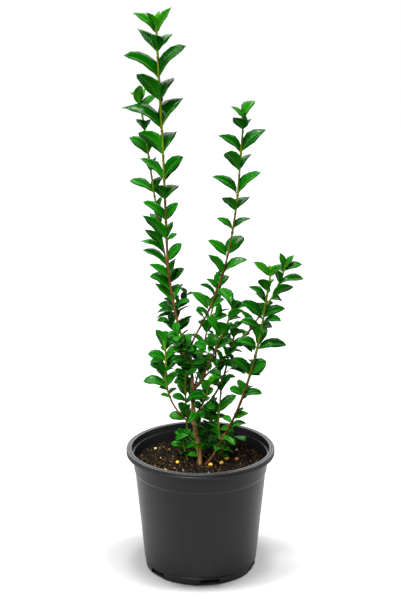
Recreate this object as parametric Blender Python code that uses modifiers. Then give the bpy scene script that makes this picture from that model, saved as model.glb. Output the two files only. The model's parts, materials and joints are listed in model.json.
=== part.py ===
"""A young privet with several stems, growing in a black nursery pot.

The plant stands on a flat-bottomed pot. The origin is at the centre of the pot's underside, +Z is up,
and -Y is the side that the plant is looked at from. Lengths are given in millimetres and made metres
by MM. Every limb is a path that leans by a few named angles along its length, and every foliage mass
is one leafy shoot that grows on from a limb: pairs of leaves, each pair turned a quarter from the one
below it, with short side twigs in some of the leaf axils.
"""

import math
import random
from dataclasses import dataclass

import bmesh
import bpy
import numpy as np
from mathutils import Vector
from mathutils.bvhtree import BVHTree

MM = 0.001
GAP = 0.3
FAR = 1e6

# Pot, in millimetres
POT_HEIGHT = 160.0
RIM_RADIUS = 95.0
RIM_WIDTH = 7.0
RIM_DEPTH = 7.0
RIM_GROOVE = 0.5
GROOVE_DROP = 2.7
GROOVE_STEP = 1.0
COLLAR_TOP_RADIUS = 87.2
COLLAR_FOOT = 132.0
COLLAR_STEP = 2.7
COLLAR_FLARE = 1.0
WALL_FOOT = 9.5
WALL_FOOT_RADIUS = 72.8
WALL_TAPER = 0.0929
WALL = 1.6
FOOT_RADIUS = 71.2
FOOT_DRAFT = 0.4
FLOOR = 2.5
EDGE = 0.8
LEDGE_DROP = 8.0
LEDGE_WIDTH = 1.9
POT_SIDES = 48
NOTCHES = 6
NOTCH_TURN = -80.4
NOTCH_WIDTH = 27.0
NOTCH_HEIGHT = 8.0
NOTCH_DEPTH = 9.0
NOTCH_REACH = 6.0

# Compost
SOIL_LEVEL = 141.0
SOIL_EDGE = 1.2
SOIL_GAP = 0.4
GROUND = SOIL_LEVEL + GAP

# Limbs: a path's steps, the rings of its tube, and the flare at the foot
STEP_COUNT = 40
RING_SPACING = 14.0
LEAST_RINGS = 4
ROOT_FLARE = 1.6
FLARE_FADE = 7.0
FLARE_RINGS = np.array([3.0, 6.5, 11.0, 17.0])
FOOT_SINK = 3.0
FOOT_STEP = 0.2
FOOT_MARGIN = 1.04
NO_LIMBS_WAY = (0.31, 0.87, 0.38)

# Leaves: thickness, how they join, and how far each is unlike the next
LEAF_HALF_THICKNESS = 0.35
LEAF_THICKNESS_SHARE = 0.008
ROOT_OFFSET = 0.45
LEAF_CLEARANCE = 0.55
LEAF_TRIES = 4
LONG_LEAF = 36.0
SHORT_LEAF = 20.0
ARC_STEPS = 24
ARC_BEND = 0.8
SIZE_SPREAD = 0.1
WIDTH_SPREAD = 0.08
RISE_SPREAD = (7.0, 14.0)
FOLD = (14.0, 30.0)
TWIST_SPREAD = 12.0
TURN_SPREAD = 9.0
LIGHT = np.array([-0.2, -0.8, 0.56])
TURN_TO_LIGHT = 46.0
END_BARE = 6.0
YOUNG_SHARE = 0.82
YOUNG_RISE = (12.0, 40.0)
TIP_PAIRS = ((0.0, 1.0), (90.0, 0.6))
TIP_RISE = (80.0, 56.0)
TIP_SINK = 1.2

# Side twigs
TWIG_RADIUS = 0.75
TWIG_TIP_RADIUS = 0.5
TWIG_LEAN = 38.0
TWIG_LEAN_SPREAD = 10.0
TWIG_LENGTH_SPREAD = (0.75, 1.2)
TWIG_BEND = 0.5
TWIG_SINK = 0.4
TWIG_LEAF = 0.72
TWIG_PAIRS = ((1, 45.0, 0.95), (2, 135.0, 0.8))

MATERIALS = {
    "black_plastic": ((0.035, 0.035, 0.036), 0.5),
    "compost": ((0.022, 0.013, 0.008), 0.95),
    "bark": ((0.30, 0.17, 0.09), 0.8),
    "foliage": ((0.015, 0.16, 0.01), 0.35),
}


@dataclass
class Limb:
    """A tapering limb. It starts on the ground at foot, or at the share `at` of its parent's length."""

    name: str
    length: float
    side: tuple
    back: tuple
    radii: tuple
    parent: str = ""
    at: float = 1.0
    foot: tuple = (0.0, 0.0)
    shift: tuple = (0.0, 0.0)
    flare: float = 0.0


@dataclass
class Shoot(Limb):
    """A leafy shoot. Internodes, leaf lengths and shapes are read from foot to tip along its stem."""

    internode: tuple = (18.0, 18.0)
    leaf: tuple = (24.0, 28.0, 20.0)
    shape: tuple = (0.55, 0.45)
    rise: tuple = (64.0, 8.0)
    first_turn: float = -25.0
    bare: float = 8.0
    tip_leaf: float = 0.6
    twig_share: float = 0.0
    twig_length: float = 22.0
    seed: int = 1


LIMBS = (
    Limb("trunk", 104, (5, -14, -2, 1), (2, 0, -2), (4.8, 3.8), foot=(-1.4, -9.5), flare=ROOT_FLARE),
    Limb("right_stem", 43, (38, 27, 20), (-10, -13), (2.5, 2.1), foot=(6.4, -10.4), flare=0.8),
    Limb("left_stem", 58, (-27, -9, -3), (-10, -8), (2.3, 1.7), foot=(-6.2, 15.0), flare=0.8),
    Limb("leader_bough", 89, (-6, -2, -28, -10), (0, 4, 6), (3.1, 2.1), "trunk"),
    Limb("centre_bough", 66, (10, 27, 24), (-14, -12), (2.0, 1.6), "leader_bough", 0.52),
    Limb("middle_bough", 59, (50, 14, 27), (-24, -16), (2.1, 1.5), "trunk"),
    Limb("low_right_bough", 128, (60, 33, 8, 69), (26, 18), (2.2, 1.5), "trunk", 0.65),
    Limb("inner_bough", 40, (54, 43, 59), (30, 22), (1.7, 1.3), "trunk"),
    Limb("back_left_bough", 62, (-30, -16, -8), (52, 34, 20), (1.9, 1.3), "trunk", 0.80),
    Limb("back_right_bough", 66, (14, 18, 8), (56, 40, 24), (1.9, 1.3), "trunk", 0.90),
)

SHOOTS = (
    Shoot("leader_foliage", 368, (-14, -2, -2, -3, -2), (5, 1, -2), (1.9, 0.9), "leader_bough",
          internode=(20, 22, 27, 31, 29, 16), leaf=(27, 28, 30, 42, 54, 45), shape=(0.5, 0.36),
          first_turn=-115.0, bare=17.0, rise=(66.0, 15.0), tip_leaf=0.4, seed=11),
    Shoot("second_foliage", 274, (-11, -11, -8, -9), (16, 10, 4), (1.3, 0.8), "leader_bough",
          shift=(-0.4, 3.6), internode=(19, 15, 24, 25, 12), leaf=(24, 30, 32, 31, 27), shape=(0.48, 0.42),
          first_turn=-20.0, bare=12.0, tip_leaf=0.85, seed=12),
    Shoot("centre_foliage", 253, (23, 11, 4, 4), (-10, -2, 2), (1.5, 0.8), "centre_bough",
          internode=(20, 29, 22, 27, 26), leaf=(28, 29, 30, 37, 41, 30), shape=(0.52, 0.38),
          first_turn=-20.0, bare=6.0, tip_leaf=0.8, seed=13),
    Shoot("middle_foliage", 78, (24, 21, 12), (-12, -4), (1.4, 0.8), "middle_bough",
          internode=(15, 17, 14), leaf=(25, 29, 27, 20), shape=(0.5, 0.42),
          first_turn=20.0, bare=5.0, twig_share=0.3, seed=14),
    Shoot("low_right_foliage", 102, (35, 34, 13), (12, 4), (1.4, 0.8), "low_right_bough",
          internode=(22, 15, 11), leaf=(26, 31, 34, 27), shape=(0.46, 0.38),
          first_turn=-10.0, bare=6.0, twig_share=0.15, seed=15),
    Shoot("inner_foliage", 56, (56, 26, -4), (24, 12), (1.2, 0.8), "inner_bough",
          internode=(13, 13), leaf=(22, 25, 20), shape=(0.52, 0.48),
          first_turn=10.0, bare=4.0, twig_share=0.4, seed=36),
    Shoot("side_foliage", 60, (-28, -4, 8), (-10, 2), (1.2, 0.8), "low_right_bough", 0.46,
          internode=(13, 14), leaf=(20, 24, 19), shape=(0.56, 0.5),
          first_turn=50.0, bare=7.0, twig_share=0.2, seed=28),
    Shoot("right_foliage", 238, (29, 18, 13, 8, 8), (-14, -10, -2), (2.0, 0.8), "right_stem",
          internode=(17, 18, 24, 38, 18, 11), leaf=(18, 25, 31, 36, 35, 26), shape=(0.6, 0.4),
          first_turn=-15.0, bare=8.0, twig_share=0.1, seed=17),
    Shoot("right_upright_foliage", 79, (-8, 6, 2), (16, 0), (1.2, 0.8), "right_stem",
          shift=(-1.6, 2.6), internode=(14, 16, 13), leaf=(23, 28, 27, 20), shape=(0.5, 0.46),
          first_turn=25.0, bare=13.0, twig_share=0.15, seed=18),
    Shoot("left_foliage", 112, (-50, -20, 4, -12), (4, 6), (1.4, 0.8), "left_stem",
          internode=(21, 15, 22), leaf=(22, 29, 33, 27, 25), shape=(0.58, 0.52),
          first_turn=5.0, bare=11.0, twig_share=0.15, seed=19),
    Shoot("left_upright_foliage", 72, (-7, -1, 3), (-22, -8), (1.2, 0.8), "left_stem",
          shift=(1.5, -1.5), internode=(16, 16, 14), leaf=(22, 27, 26, 24), shape=(0.58, 0.6),
          first_turn=-40.0, bare=10.0, twig_share=0.25, seed=20),
    Shoot("fork_foliage", 46, (-34, -12, 4), (-26, -14), (1.2, 0.8), "leader_bough", 0.30,
          internode=(12, 13), leaf=(20, 24, 18), shape=(0.56, 0.5),
          first_turn=30.0, bare=8.0, twig_share=0.4, seed=21),
    Shoot("back_left_foliage", 78, (-12, -4, 0), (24, 8), (1.2, 0.8), "back_left_bough",
          internode=(15, 15), leaf=(24, 28, 26, 20), shape=(0.54, 0.46),
          first_turn=40.0, bare=4.0, twig_share=0.2, seed=22),
    Shoot("back_right_foliage", 92, (12, 16, 6), (26, 12), (1.2, 0.8), "back_right_bough",
          internode=(16, 16), leaf=(24, 29, 27, 20), shape=(0.54, 0.46),
          first_turn=15.0, bare=4.0, twig_share=0.1, seed=23),
    Shoot("trunk_foliage", 62, (28, 22, 12), (-34, -16), (1.2, 0.8), "trunk", 0.62,
          internode=(13, 14), leaf=(18, 24, 22), shape=(0.6, 0.52),
          first_turn=60.0, bare=9.0, twig_share=0.2, seed=24),
    Shoot("basal_left_foliage", 40, (-16, -8), (4, 0), (1.1, 0.7), foot=(-16.0, -1.0),
          internode=(9, 11), leaf=(17, 18, 15), shape=(0.62, 0.56), rise=(46.0, -6.0),
          first_turn=0.0, bare=7.0, twig_share=0.15, twig_length=14.0, seed=25),
    Shoot("basal_right_foliage", 44, (30, 18), (-4, 4), (1.1, 0.7), foot=(20.0, 2.0),
          internode=(10, 11), leaf=(15, 19, 16), shape=(0.6, 0.54), rise=(46.0, -6.0),
          first_turn=30.0, bare=8.0, twig_share=0.05, twig_length=14.0, seed=26),
    Shoot("basal_back_foliage", 72, (8, 14, 10), (22, 14), (1.3, 0.8), foot=(4.0, 16.0),
          internode=(12, 14), leaf=(17, 22, 24, 18), shape=(0.58, 0.5), rise=(58.0, 0.0),
          first_turn=70.0, bare=9.0, twig_share=0.15, twig_length=18.0, seed=27),
)


def clear_scene():
    """Remove every object and collection that the file holds."""
    for obj in list(bpy.data.objects):
        bpy.data.objects.remove(obj, do_unlink=True)
    for collection in list(bpy.data.collections):
        bpy.data.collections.remove(collection)


def new_collection(name):
    """Make a collection in the scene."""
    collection = bpy.data.collections.new(name)
    bpy.context.scene.collection.children.link(collection)
    return collection


def material(node_name, finish):
    """Give each object a material of its own, in its finish's colour and roughness."""
    colour, roughness = MATERIALS[finish]
    made = bpy.data.materials.new(node_name + "_" + finish)
    made.use_nodes = True
    shader = made.node_tree.nodes["Principled BSDF"]
    shader.inputs["Base Color"].default_value = (*colour, 1.0)
    shader.inputs["Roughness"].default_value = roughness
    return made


def mesh_object(name, mesh, collection):
    """Link a mesh to the scene as an object."""
    obj = bpy.data.objects.new(name, mesh)
    collection.objects.link(obj)
    return obj


def evaluated_mesh(obj):
    """The mesh of an object with its modifiers or its bevel worked out."""
    depsgraph = bpy.context.evaluated_depsgraph_get()
    return bpy.data.meshes.new_from_object(obj.evaluated_get(depsgraph), depsgraph=depsgraph)


def search_tree(mesh):
    """A search tree over a mesh, for the tests that keep pieces clear of each other."""
    points = [vertex.co.copy() for vertex in mesh.vertices]
    return BVHTree.FromPolygons(points, [list(face.vertices) for face in mesh.polygons])


def turned(name, profile, sides, collection):
    """Turn a profile of (radius, height) points in millimetres about Z with a Screw modifier."""
    mesh = bpy.data.meshes.new(name)
    points = [(radius * MM, 0.0, height * MM) for radius, height in profile]
    edges = [(i, i + 1) for i in range(len(points) - 1)]
    mesh.from_pydata(points, edges, [])
    obj = mesh_object(name, mesh, collection)
    screw = obj.modifiers.new("Turn", "SCREW")
    screw.steps = sides
    screw.render_steps = sides
    screw.use_merge_vertices = True
    screw.merge_threshold = 0.00001
    return obj


def wall_radius(height):
    """Outer radius of the pot's tapering wall at a height."""
    return WALL_FOOT_RADIUS + WALL_TAPER * (height - WALL_FOOT)


def pot_outside():
    """The pot's outer profile, from the middle of the rim's top down to its underside."""
    lip_foot = POT_HEIGHT - RIM_DEPTH
    groove = POT_HEIGHT - GROOVE_DROP
    collar_radius = COLLAR_TOP_RADIUS - WALL_TAPER * (lip_foot - COLLAR_FOOT)
    step_foot = COLLAR_FOOT - COLLAR_STEP
    return [
        (RIM_RADIUS - EDGE, POT_HEIGHT),
        (RIM_RADIUS, POT_HEIGHT - EDGE),
        (RIM_RADIUS - RIM_GROOVE, groove),
        (RIM_RADIUS, groove - GROOVE_STEP),
        (RIM_RADIUS, lip_foot),
        (COLLAR_TOP_RADIUS, lip_foot),
        (collar_radius, COLLAR_FOOT),
        (wall_radius(step_foot), step_foot),
        (wall_radius(WALL_FOOT + EDGE), WALL_FOOT + EDGE),
        (WALL_FOOT_RADIUS - EDGE, WALL_FOOT),
        (FOOT_RADIUS + FOOT_DRAFT, WALL_FOOT),
        (FOOT_RADIUS, 0.0),
        (0.0, 0.0),
    ]


def pot_inside():
    """The pot's inner profile, from the middle of its floor up to the rim's inner edge."""
    ledge = POT_HEIGHT - LEDGE_DROP
    ledge_radius = RIM_RADIUS - RIM_WIDTH - EDGE
    step_foot = COLLAR_FOOT - COLLAR_STEP
    return [
        (0.0, FLOOR),
        (FOOT_RADIUS - WALL, FLOOR),
        (FOOT_RADIUS - WALL + FOOT_DRAFT, WALL_FOOT + EDGE),
        (wall_radius(WALL_FOOT) - WALL, WALL_FOOT + EDGE + WALL),
        (wall_radius(step_foot) - WALL, step_foot + EDGE),
        (wall_radius(COLLAR_FOOT) - WALL + COLLAR_FLARE, COLLAR_FOOT + EDGE),
        (ledge_radius - LEDGE_WIDTH, ledge),
        (ledge_radius, ledge),
        (RIM_RADIUS - RIM_WIDTH, POT_HEIGHT - EDGE),
        (RIM_RADIUS - RIM_WIDTH + EDGE, POT_HEIGHT),
    ]


def make_pot(parts, cutters):
    """The pot: a turned shell with a rolled rim, a collar, a set-in foot and six drain notches."""
    pot = turned("pot", pot_inside() + pot_outside(), POT_SIDES, parts)
    for number in range(NOTCHES):
        angle = math.radians(NOTCH_TURN + number * 360.0 / NOTCHES)
        bpy.ops.mesh.primitive_cube_add(size=1.0)
        cutter = bpy.context.object
        cutter.name = f"notch_cutter_{number + 1}"
        for holder in list(cutter.users_collection):
            holder.objects.unlink(cutter)
        cutters.objects.link(cutter)
        middle = FOOT_RADIUS + (NOTCH_REACH - NOTCH_DEPTH) / 2
        cutter.location = (math.cos(angle) * middle * MM, math.sin(angle) * middle * MM, 0.0)
        cutter.rotation_euler = (0.0, 0.0, angle)
        cutter.scale = ((NOTCH_DEPTH + NOTCH_REACH) * MM, NOTCH_WIDTH * MM, 2 * NOTCH_HEIGHT * MM)
        cutter.hide_render = True
        cutter.display_type = "WIRE"
        cut = pot.modifiers.new(f"Notch {number + 1}", "BOOLEAN")
        cut.operation = "DIFFERENCE"
        cut.object = cutter
    pot.data.materials.append(material("pot", "black_plastic"))
    return pot


def make_compost(parts):
    """The compost: it fills the pot up to the soil level, a hair clear of the wall."""
    _, floor, foot, wall_low, wall_high, collar_low, collar_high = pot_inside()[:7]
    share = (SOIL_LEVEL - collar_low[1]) / (collar_high[1] - collar_low[1])
    top_radius = collar_low[0] + share * (collar_high[0] - collar_low[0]) - SOIL_GAP
    profile = [
        (0.0, SOIL_LEVEL),
        (top_radius - SOIL_EDGE, SOIL_LEVEL),
        (top_radius, SOIL_LEVEL - SOIL_EDGE),
        (collar_low[0] - SOIL_GAP, collar_low[1]),
        (wall_high[0] - SOIL_GAP, wall_high[1]),
        (wall_low[0] - SOIL_GAP, wall_low[1] + SOIL_GAP),
        (foot[0] - SOIL_GAP, foot[1] + SOIL_GAP),
        (floor[0] - SOIL_GAP, FLOOR + GAP),
        (0.0, FLOOR + GAP),
    ]
    compost = turned("compost", profile, POT_SIDES, parts)
    compost.data.materials.append(material("compost", "compost"))
    return compost


def path_points(start, length, side, back):
    """A path of even steps whose lean from upright, sideways and backwards, runs through given angles."""
    shares = (np.arange(STEP_COUNT) + 0.5) / STEP_COUNT
    lean_side = np.radians(np.interp(shares, np.linspace(0, 1, len(side)), side))
    lean_back = np.radians(np.interp(shares, np.linspace(0, 1, len(back)), back))
    steps = np.stack([np.tan(lean_side), np.tan(lean_back), np.ones(STEP_COUNT)], axis=1)
    steps *= length / STEP_COUNT / np.linalg.norm(steps, axis=1)[:, None]
    return np.vstack([start, start + np.cumsum(steps, axis=0)])


def along(points, distance, spacing):
    """The point and the direction at a distance along a path of even steps."""
    place = min(max(distance / spacing, 0.0), len(points) - 1.001)
    index = int(place)
    step = points[index + 1] - points[index]
    return points[index] + (place - index) * step, step / np.linalg.norm(step)


def limb_radius(limb, distance):
    """The limb's radius at a distance from its foot: an even taper, and a flare that fades above it."""
    share = distance / limb.length
    taper = limb.radii[0] + (limb.radii[1] - limb.radii[0]) * share
    return taper + limb.flare * math.exp(-distance / FLARE_FADE)


def tube_mesh(name, points, radii, resolution):
    """A tapering tube along points in millimetres, from a bevelled curve whose caps are welded on."""
    curve = bpy.data.curves.new(name, "CURVE")
    curve.dimensions = "3D"
    curve.bevel_depth = MM
    curve.bevel_resolution = resolution
    curve.use_fill_caps = True
    spline = curve.splines.new("POLY")
    spline.points.add(len(points) - 1)
    for target, point, radius in zip(spline.points, points, radii):
        target.co = (*(np.asarray(point) * MM), 1.0)
        target.radius = radius
    guide = bpy.data.objects.new(name + "_curve", curve)
    bpy.context.scene.collection.objects.link(guide)
    mesh = evaluated_mesh(guide)
    bpy.data.objects.remove(guide, do_unlink=True)
    shape = bmesh.new()
    shape.from_mesh(mesh)
    bmesh.ops.remove_doubles(shape, verts=shape.verts, dist=0.000001)
    bmesh.ops.recalc_face_normals(shape, faces=shape.faces)
    shape.to_mesh(mesh)
    shape.free()
    return mesh


def cut_at_ground(mesh):
    """Cut a stem off flat at ground level and close the cut."""
    shape = bmesh.new()
    shape.from_mesh(mesh)
    everything = shape.verts[:] + shape.edges[:] + shape.faces[:]
    bmesh.ops.bisect_plane(
        shape, geom=everything, plane_co=(0, 0, GROUND * MM), plane_no=(0, 0, 1), clear_inner=True)
    rim = [edge for edge in shape.edges if edge.is_boundary]
    bmesh.ops.holes_fill(shape, edges=rim)
    bmesh.ops.recalc_face_normals(shape, faces=shape.faces)
    shape.to_mesh(mesh)
    shape.free()


class Plant:
    """The plant's limbs and shoots as they grow, with what each new piece has to keep clear of."""

    def __init__(self, parts):
        self.parts = parts
        self.paths = {}
        self.starts = {}
        self.trees = {}

    def add_tree(self, name, mesh):
        """Remember a piece's surface under its node's name."""
        self.trees.setdefault(name, []).append(search_tree(mesh))

    def others(self, name):
        """The surfaces of all nodes but one."""
        return [tree for node, trees in self.trees.items() if node != name for tree in trees]

    def clearance(self, name, points):
        """The least distance in millimetres from some points to the other nodes' surfaces."""
        near = FAR
        for tree in self.others(name):
            for point in points:
                found = tree.find_nearest(Vector(point) * MM, near * MM)
                if found[0] is not None:
                    near = min(near, found[3] / MM)
        return near

    def foot_ring(self, limb, distance):
        """Points round the limb at a distance along it, where its foot could be."""
        centre, direction = along(self.paths[limb.name], distance, limb.length / STEP_COUNT)
        across = np.cross(direction, NO_LIMBS_WAY)
        across /= np.linalg.norm(across)
        other = np.cross(direction, across)
        radius = limb_radius(limb, distance) * FOOT_MARGIN
        angles = np.radians(np.arange(0, 360, 30))
        return [centre + radius * (math.cos(a) * across + math.sin(a) * other) for a in angles]

    def start_of(self, limb):
        """Where the limb's path starts: on the ground, or on its parent's path."""
        if not limb.parent:
            return np.array([limb.foot[0], limb.foot[1], GROUND - FOOT_SINK])
        parent = self.paths[limb.parent]
        index = limb.at * STEP_COUNT
        low = min(int(index), STEP_COUNT - 1)
        start = parent[low] + (index - low) * (parent[low + 1] - parent[low])
        return start + np.array([limb.shift[0], limb.shift[1], 0.0])

    def settle(self, limb):
        """Lay the limb's path, and move its foot out along it until it clears its parent by the gap."""
        self.paths[limb.name] = path_points(self.start_of(limb), limb.length, limb.side, limb.back)
        distance = 0.0
        if limb.parent:
            while self.foot_blocked(limb, distance):
                distance += FOOT_STEP
        self.starts[limb.name] = distance
        return distance

    def foot_blocked(self, limb, distance):
        """Whether the limb's foot would touch, or lie inside, what is already there."""
        centre, direction = along(self.paths[limb.name], distance, limb.length / STEP_COUNT)
        ring = self.foot_ring(limb, distance)
        if self.clearance(limb.name, [*ring, centre]) < GAP:
            return True
        return any(self.is_inside(tree, centre) for tree in self.others(limb.name))

    def is_inside(self, tree, point):
        """Whether a point lies inside a closed surface."""
        position = Vector(point) * MM
        found, normal, _, _ = tree.find_nearest(position, FAR)
        return (position - found).dot(normal) < 0.0

    def stem_mesh(self, limb, resolution):
        """The limb's tube, from its settled foot to its tip."""
        first = self.settle(limb)
        spacing = limb.length / STEP_COUNT
        count = max(LEAST_RINGS, round((limb.length - first) / RING_SPACING)) + 1
        distances = np.linspace(first, limb.length, count)
        if limb.flare:
            distances = np.unique(np.concatenate([[first], first + FLARE_RINGS, distances[2:]]))
        points = [along(self.paths[limb.name], d, spacing)[0] for d in distances]
        radii = [limb_radius(limb, d) for d in distances]
        mesh = tube_mesh(limb.name, points, radii, resolution)
        if not limb.parent:
            cut_at_ground(mesh)
        self.add_tree(limb.name, mesh)
        return mesh


def unit(vector):
    """A vector of length one."""
    return vector / np.linalg.norm(vector)


@dataclass
class Leaf:
    """One leaf: its root, the way it points, its size, and how it rises, folds and twists."""

    root: np.ndarray
    outward: np.ndarray
    up: np.ndarray
    length: float
    width: float
    rise: tuple
    fold: float
    twist: float


def leaf_sections(leaf, shares):
    """Middle, side and normal of the leaf at shares of its length, along an arc that bends outward."""
    fine = (np.arange(ARC_STEPS) + 0.5) / ARC_STEPS
    angles = np.radians(leaf.rise[0] + (leaf.rise[1] - leaf.rise[0]) * fine ** ARC_BEND)
    steps = np.outer(np.cos(angles), leaf.outward) + np.outer(np.sin(angles), leaf.up)
    line = np.vstack([np.zeros(3), np.cumsum(steps, axis=0) * leaf.length / ARC_STEPS])
    places = np.linspace(0, 1, ARC_STEPS + 1)
    middle = np.stack([np.interp(shares, places, line[:, axis]) for axis in range(3)], axis=1)
    bend = np.radians(leaf.rise[0] + (leaf.rise[1] - leaf.rise[0]) * np.asarray(shares) ** ARC_BEND)
    normal = np.outer(np.cos(bend), leaf.up) - np.outer(np.sin(bend), leaf.outward)
    side = np.cross(leaf.up, leaf.outward)
    turn = math.radians(leaf.twist)
    across = math.cos(turn) * side + math.sin(turn) * normal
    facing = math.cos(turn) * normal - math.sin(turn) * side
    return leaf.root + middle, across, facing


def leaf_outline(leaf):
    """Shares of the length and half widths of the leaf's sections, more of them on a long leaf."""
    if leaf.length > LONG_LEAF:
        shares, widths = (0.16, 0.46, 0.78), (0.55, 1.02, 0.68)
    elif leaf.length > SHORT_LEAF:
        shares, widths = (0.28, 0.68), (0.82, 0.92)
    else:
        shares, widths = (0.55,), (1.05,)
    return np.array(shares), np.array(widths) * leaf.width / 2


def leaf_geometry(leaf, extra=0.0):
    """Points and faces of a leaf: folded sections between a sunk root and a pointed tip."""
    shares, halves = leaf_outline(leaf)
    middle, across, facing = leaf_sections(leaf, shares)
    ends, _, _ = leaf_sections(leaf, np.array([0.0, 1.0]))
    thick = np.full(len(shares), max(LEAF_HALF_THICKNESS, LEAF_THICKNESS_SHARE * leaf.length)) + extra
    fold = math.radians(leaf.fold)
    halves = halves + extra
    lift = facing * (halves * math.sin(fold))[:, None]
    reach = across * (halves * math.cos(fold))[:, None]
    top = middle + facing * thick[:, None]
    under = middle - facing * thick[:, None]
    left = middle - reach + lift
    right = middle + reach + lift
    points = [ends[0]]
    for ring in zip(left, top, right, under):
        points.extend(ring)
    points.append(ends[1] + extra * unit(ends[1] - middle[-1]))
    faces = [(0, 1 + side, 1 + (side + 1) % 4) for side in range(4)]
    for row in range(len(shares) - 1):
        low = 1 + 4 * row
        for side in range(4):
            near, far = low + side, low + (side + 1) % 4
            faces.append((near, near + 4, far + 4))
            faces.append((near, far + 4, far))
    last = 1 + 4 * (len(shares) - 1)
    tip = len(points) - 1
    faces += [(last + side, tip, last + (side + 1) % 4) for side in range(4)]
    return points, faces


def leaf_tree(leaf, extra, first_corner):
    """A search tree over the leaf from one of its corners on, a little larger than the leaf."""
    points, faces = leaf_geometry(leaf, extra)
    kept = [face for face in faces if min(face) >= first_corner]
    return BVHTree.FromPolygons([Vector(point) * MM for point in points], kept)


def from_polygons(name, points, faces):
    """A mesh from points in millimetres and faces, with its faces turned outwards."""
    mesh = bpy.data.meshes.new(name)
    mesh.from_pydata([tuple(np.asarray(point) * MM) for point in points], [], faces)
    shape = bmesh.new()
    shape.from_mesh(mesh)
    bmesh.ops.recalc_face_normals(shape, faces=shape.faces)
    shape.to_mesh(mesh)
    shape.free()
    return mesh


def pair_directions(direction, turn):
    """The two opposite ways out of a stem that a pair of leaves takes at a turn about it."""
    angle = math.radians(turn)
    level = np.array([math.cos(angle), math.sin(angle), 0.0])
    outward = unit(level - direction * np.dot(level, direction))
    return outward, -outward


def leaf_on(stem_point, outward, direction, radius, length, shape, rise, rng):
    """A leaf that leaves a stem, turned some way to the light, a little unlike its neighbours."""
    size = length * rng.uniform(1 - SIZE_SPREAD, 1 + SIZE_SPREAD)
    first = rise[0] + rng.uniform(-RISE_SPREAD[0], RISE_SPREAD[0])
    last = rise[1] + rng.uniform(-RISE_SPREAD[1], RISE_SPREAD[1])
    to_light = -TURN_TO_LIGHT * float(np.dot(LIGHT, np.cross(direction, outward)))
    return Leaf(
        root=stem_point + outward * radius * ROOT_OFFSET,
        outward=outward,
        up=direction,
        length=size,
        width=size * shape * rng.uniform(1 - WIDTH_SPREAD, 1 + WIDTH_SPREAD),
        rise=(first, last),
        fold=rng.uniform(*FOLD),
        twist=to_light + rng.uniform(-TWIST_SPREAD, TWIST_SPREAD),
    )


def place_leaf(plant, name, own, arguments, rng):
    """Try a leaf a few times, and keep the first that touches no other piece and no leaf of its own."""
    for _ in range(LEAF_TRIES):
        leaf = leaf_on(*arguments, rng)
        whole = leaf_tree(leaf, LEAF_CLEARANCE, 0)
        tight = leaf_tree(leaf, 0.0, 1)
        free = not any(whole.overlap(tree) for tree in plant.others(name))
        if free and not any(tight.overlap(tree) for tree in own):
            own.append(tight)
            return leaf
    return None


def rise_at(shoot, share):
    """How leaves rise at a share of the shoot's length: near the tip the young ones stand steeper."""
    young = max(0.0, (share - YOUNG_SHARE) / (1 - YOUNG_SHARE))
    return shoot.rise[0] + YOUNG_RISE[0] * young, shoot.rise[1] + YOUNG_RISE[1] * young


def nodes_along(shoot, first):
    """Distances of the leaf pairs from the foot of the shoot's path, closer or wider as it says."""
    stations = np.linspace(0, 1, len(shoot.internode))
    distances = []
    distance = first + shoot.bare
    while distance < shoot.length - END_BARE:
        distances.append(distance)
        distance += float(np.interp(distance / shoot.length, stations, shoot.internode))
    return distances


def make_twig(plant, shoot, point, outward, direction, length, rng):
    """A short side twig from a leaf axil: a bent three-sided stalk, if it touches nothing."""
    lean = math.radians(TWIG_LEAN + rng.uniform(-TWIG_LEAN_SPREAD, TWIG_LEAN_SPREAD))
    way = unit(direction * math.cos(lean) + outward * math.sin(lean))
    bend = unit(way + direction * TWIG_BEND)
    half = length / 2
    points = [point - way * TWIG_SINK, point + way * half, point + (way + bend) * half]
    radii = (TWIG_RADIUS, (TWIG_RADIUS + TWIG_TIP_RADIUS) / 2, TWIG_TIP_RADIUS)
    across = unit(np.cross(way, direction))
    other = np.cross(way, across)
    corners = [math.radians(120 * side) for side in range(3)]
    ring = [[centre + radius * (math.cos(a) * across + math.sin(a) * other) for a in corners]
            for centre, radius in zip(points, radii)]
    verts = [corner for row in ring for corner in row]
    faces = [(0, 1, 2), (6, 7, 8)]
    for row in (0, 3):
        for side in range(3):
            near, far = row + side, row + (side + 1) % 3
            faces.append((near, far, far + 3))
            faces.append((near, far + 3, near + 3))
    mesh = from_polygons(shoot.name + "_twig", verts, faces)
    tree = search_tree(mesh)
    if any(tree.overlap(other_tree) for other_tree in plant.others(shoot.name)):
        bpy.data.meshes.remove(mesh)
        return None, None, None
    if plant.clearance(shoot.name, verts) < LEAF_CLEARANCE:
        bpy.data.meshes.remove(mesh)
        return None, None, None
    return mesh, points, bend


def twig_leaves(plant, shoot, points, bend, turn, length, own, rng):
    """The leaves of a side twig: a pair half way up it and a pair at its tip."""
    leaves = []
    shape = float(np.mean(shoot.shape))
    places = (points[0], points[1], points[2] - bend * TIP_SINK)
    for place, quarter, size in TWIG_PAIRS:
        for outward in pair_directions(bend, turn + quarter):
            arguments = (places[place], outward, bend, TWIG_TIP_RADIUS, length * size, shape, shoot.rise)
            leaf = place_leaf(plant, shoot.name, own, arguments, rng)
            if leaf is not None:
                leaves.append(leaf)
    return leaves


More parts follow.
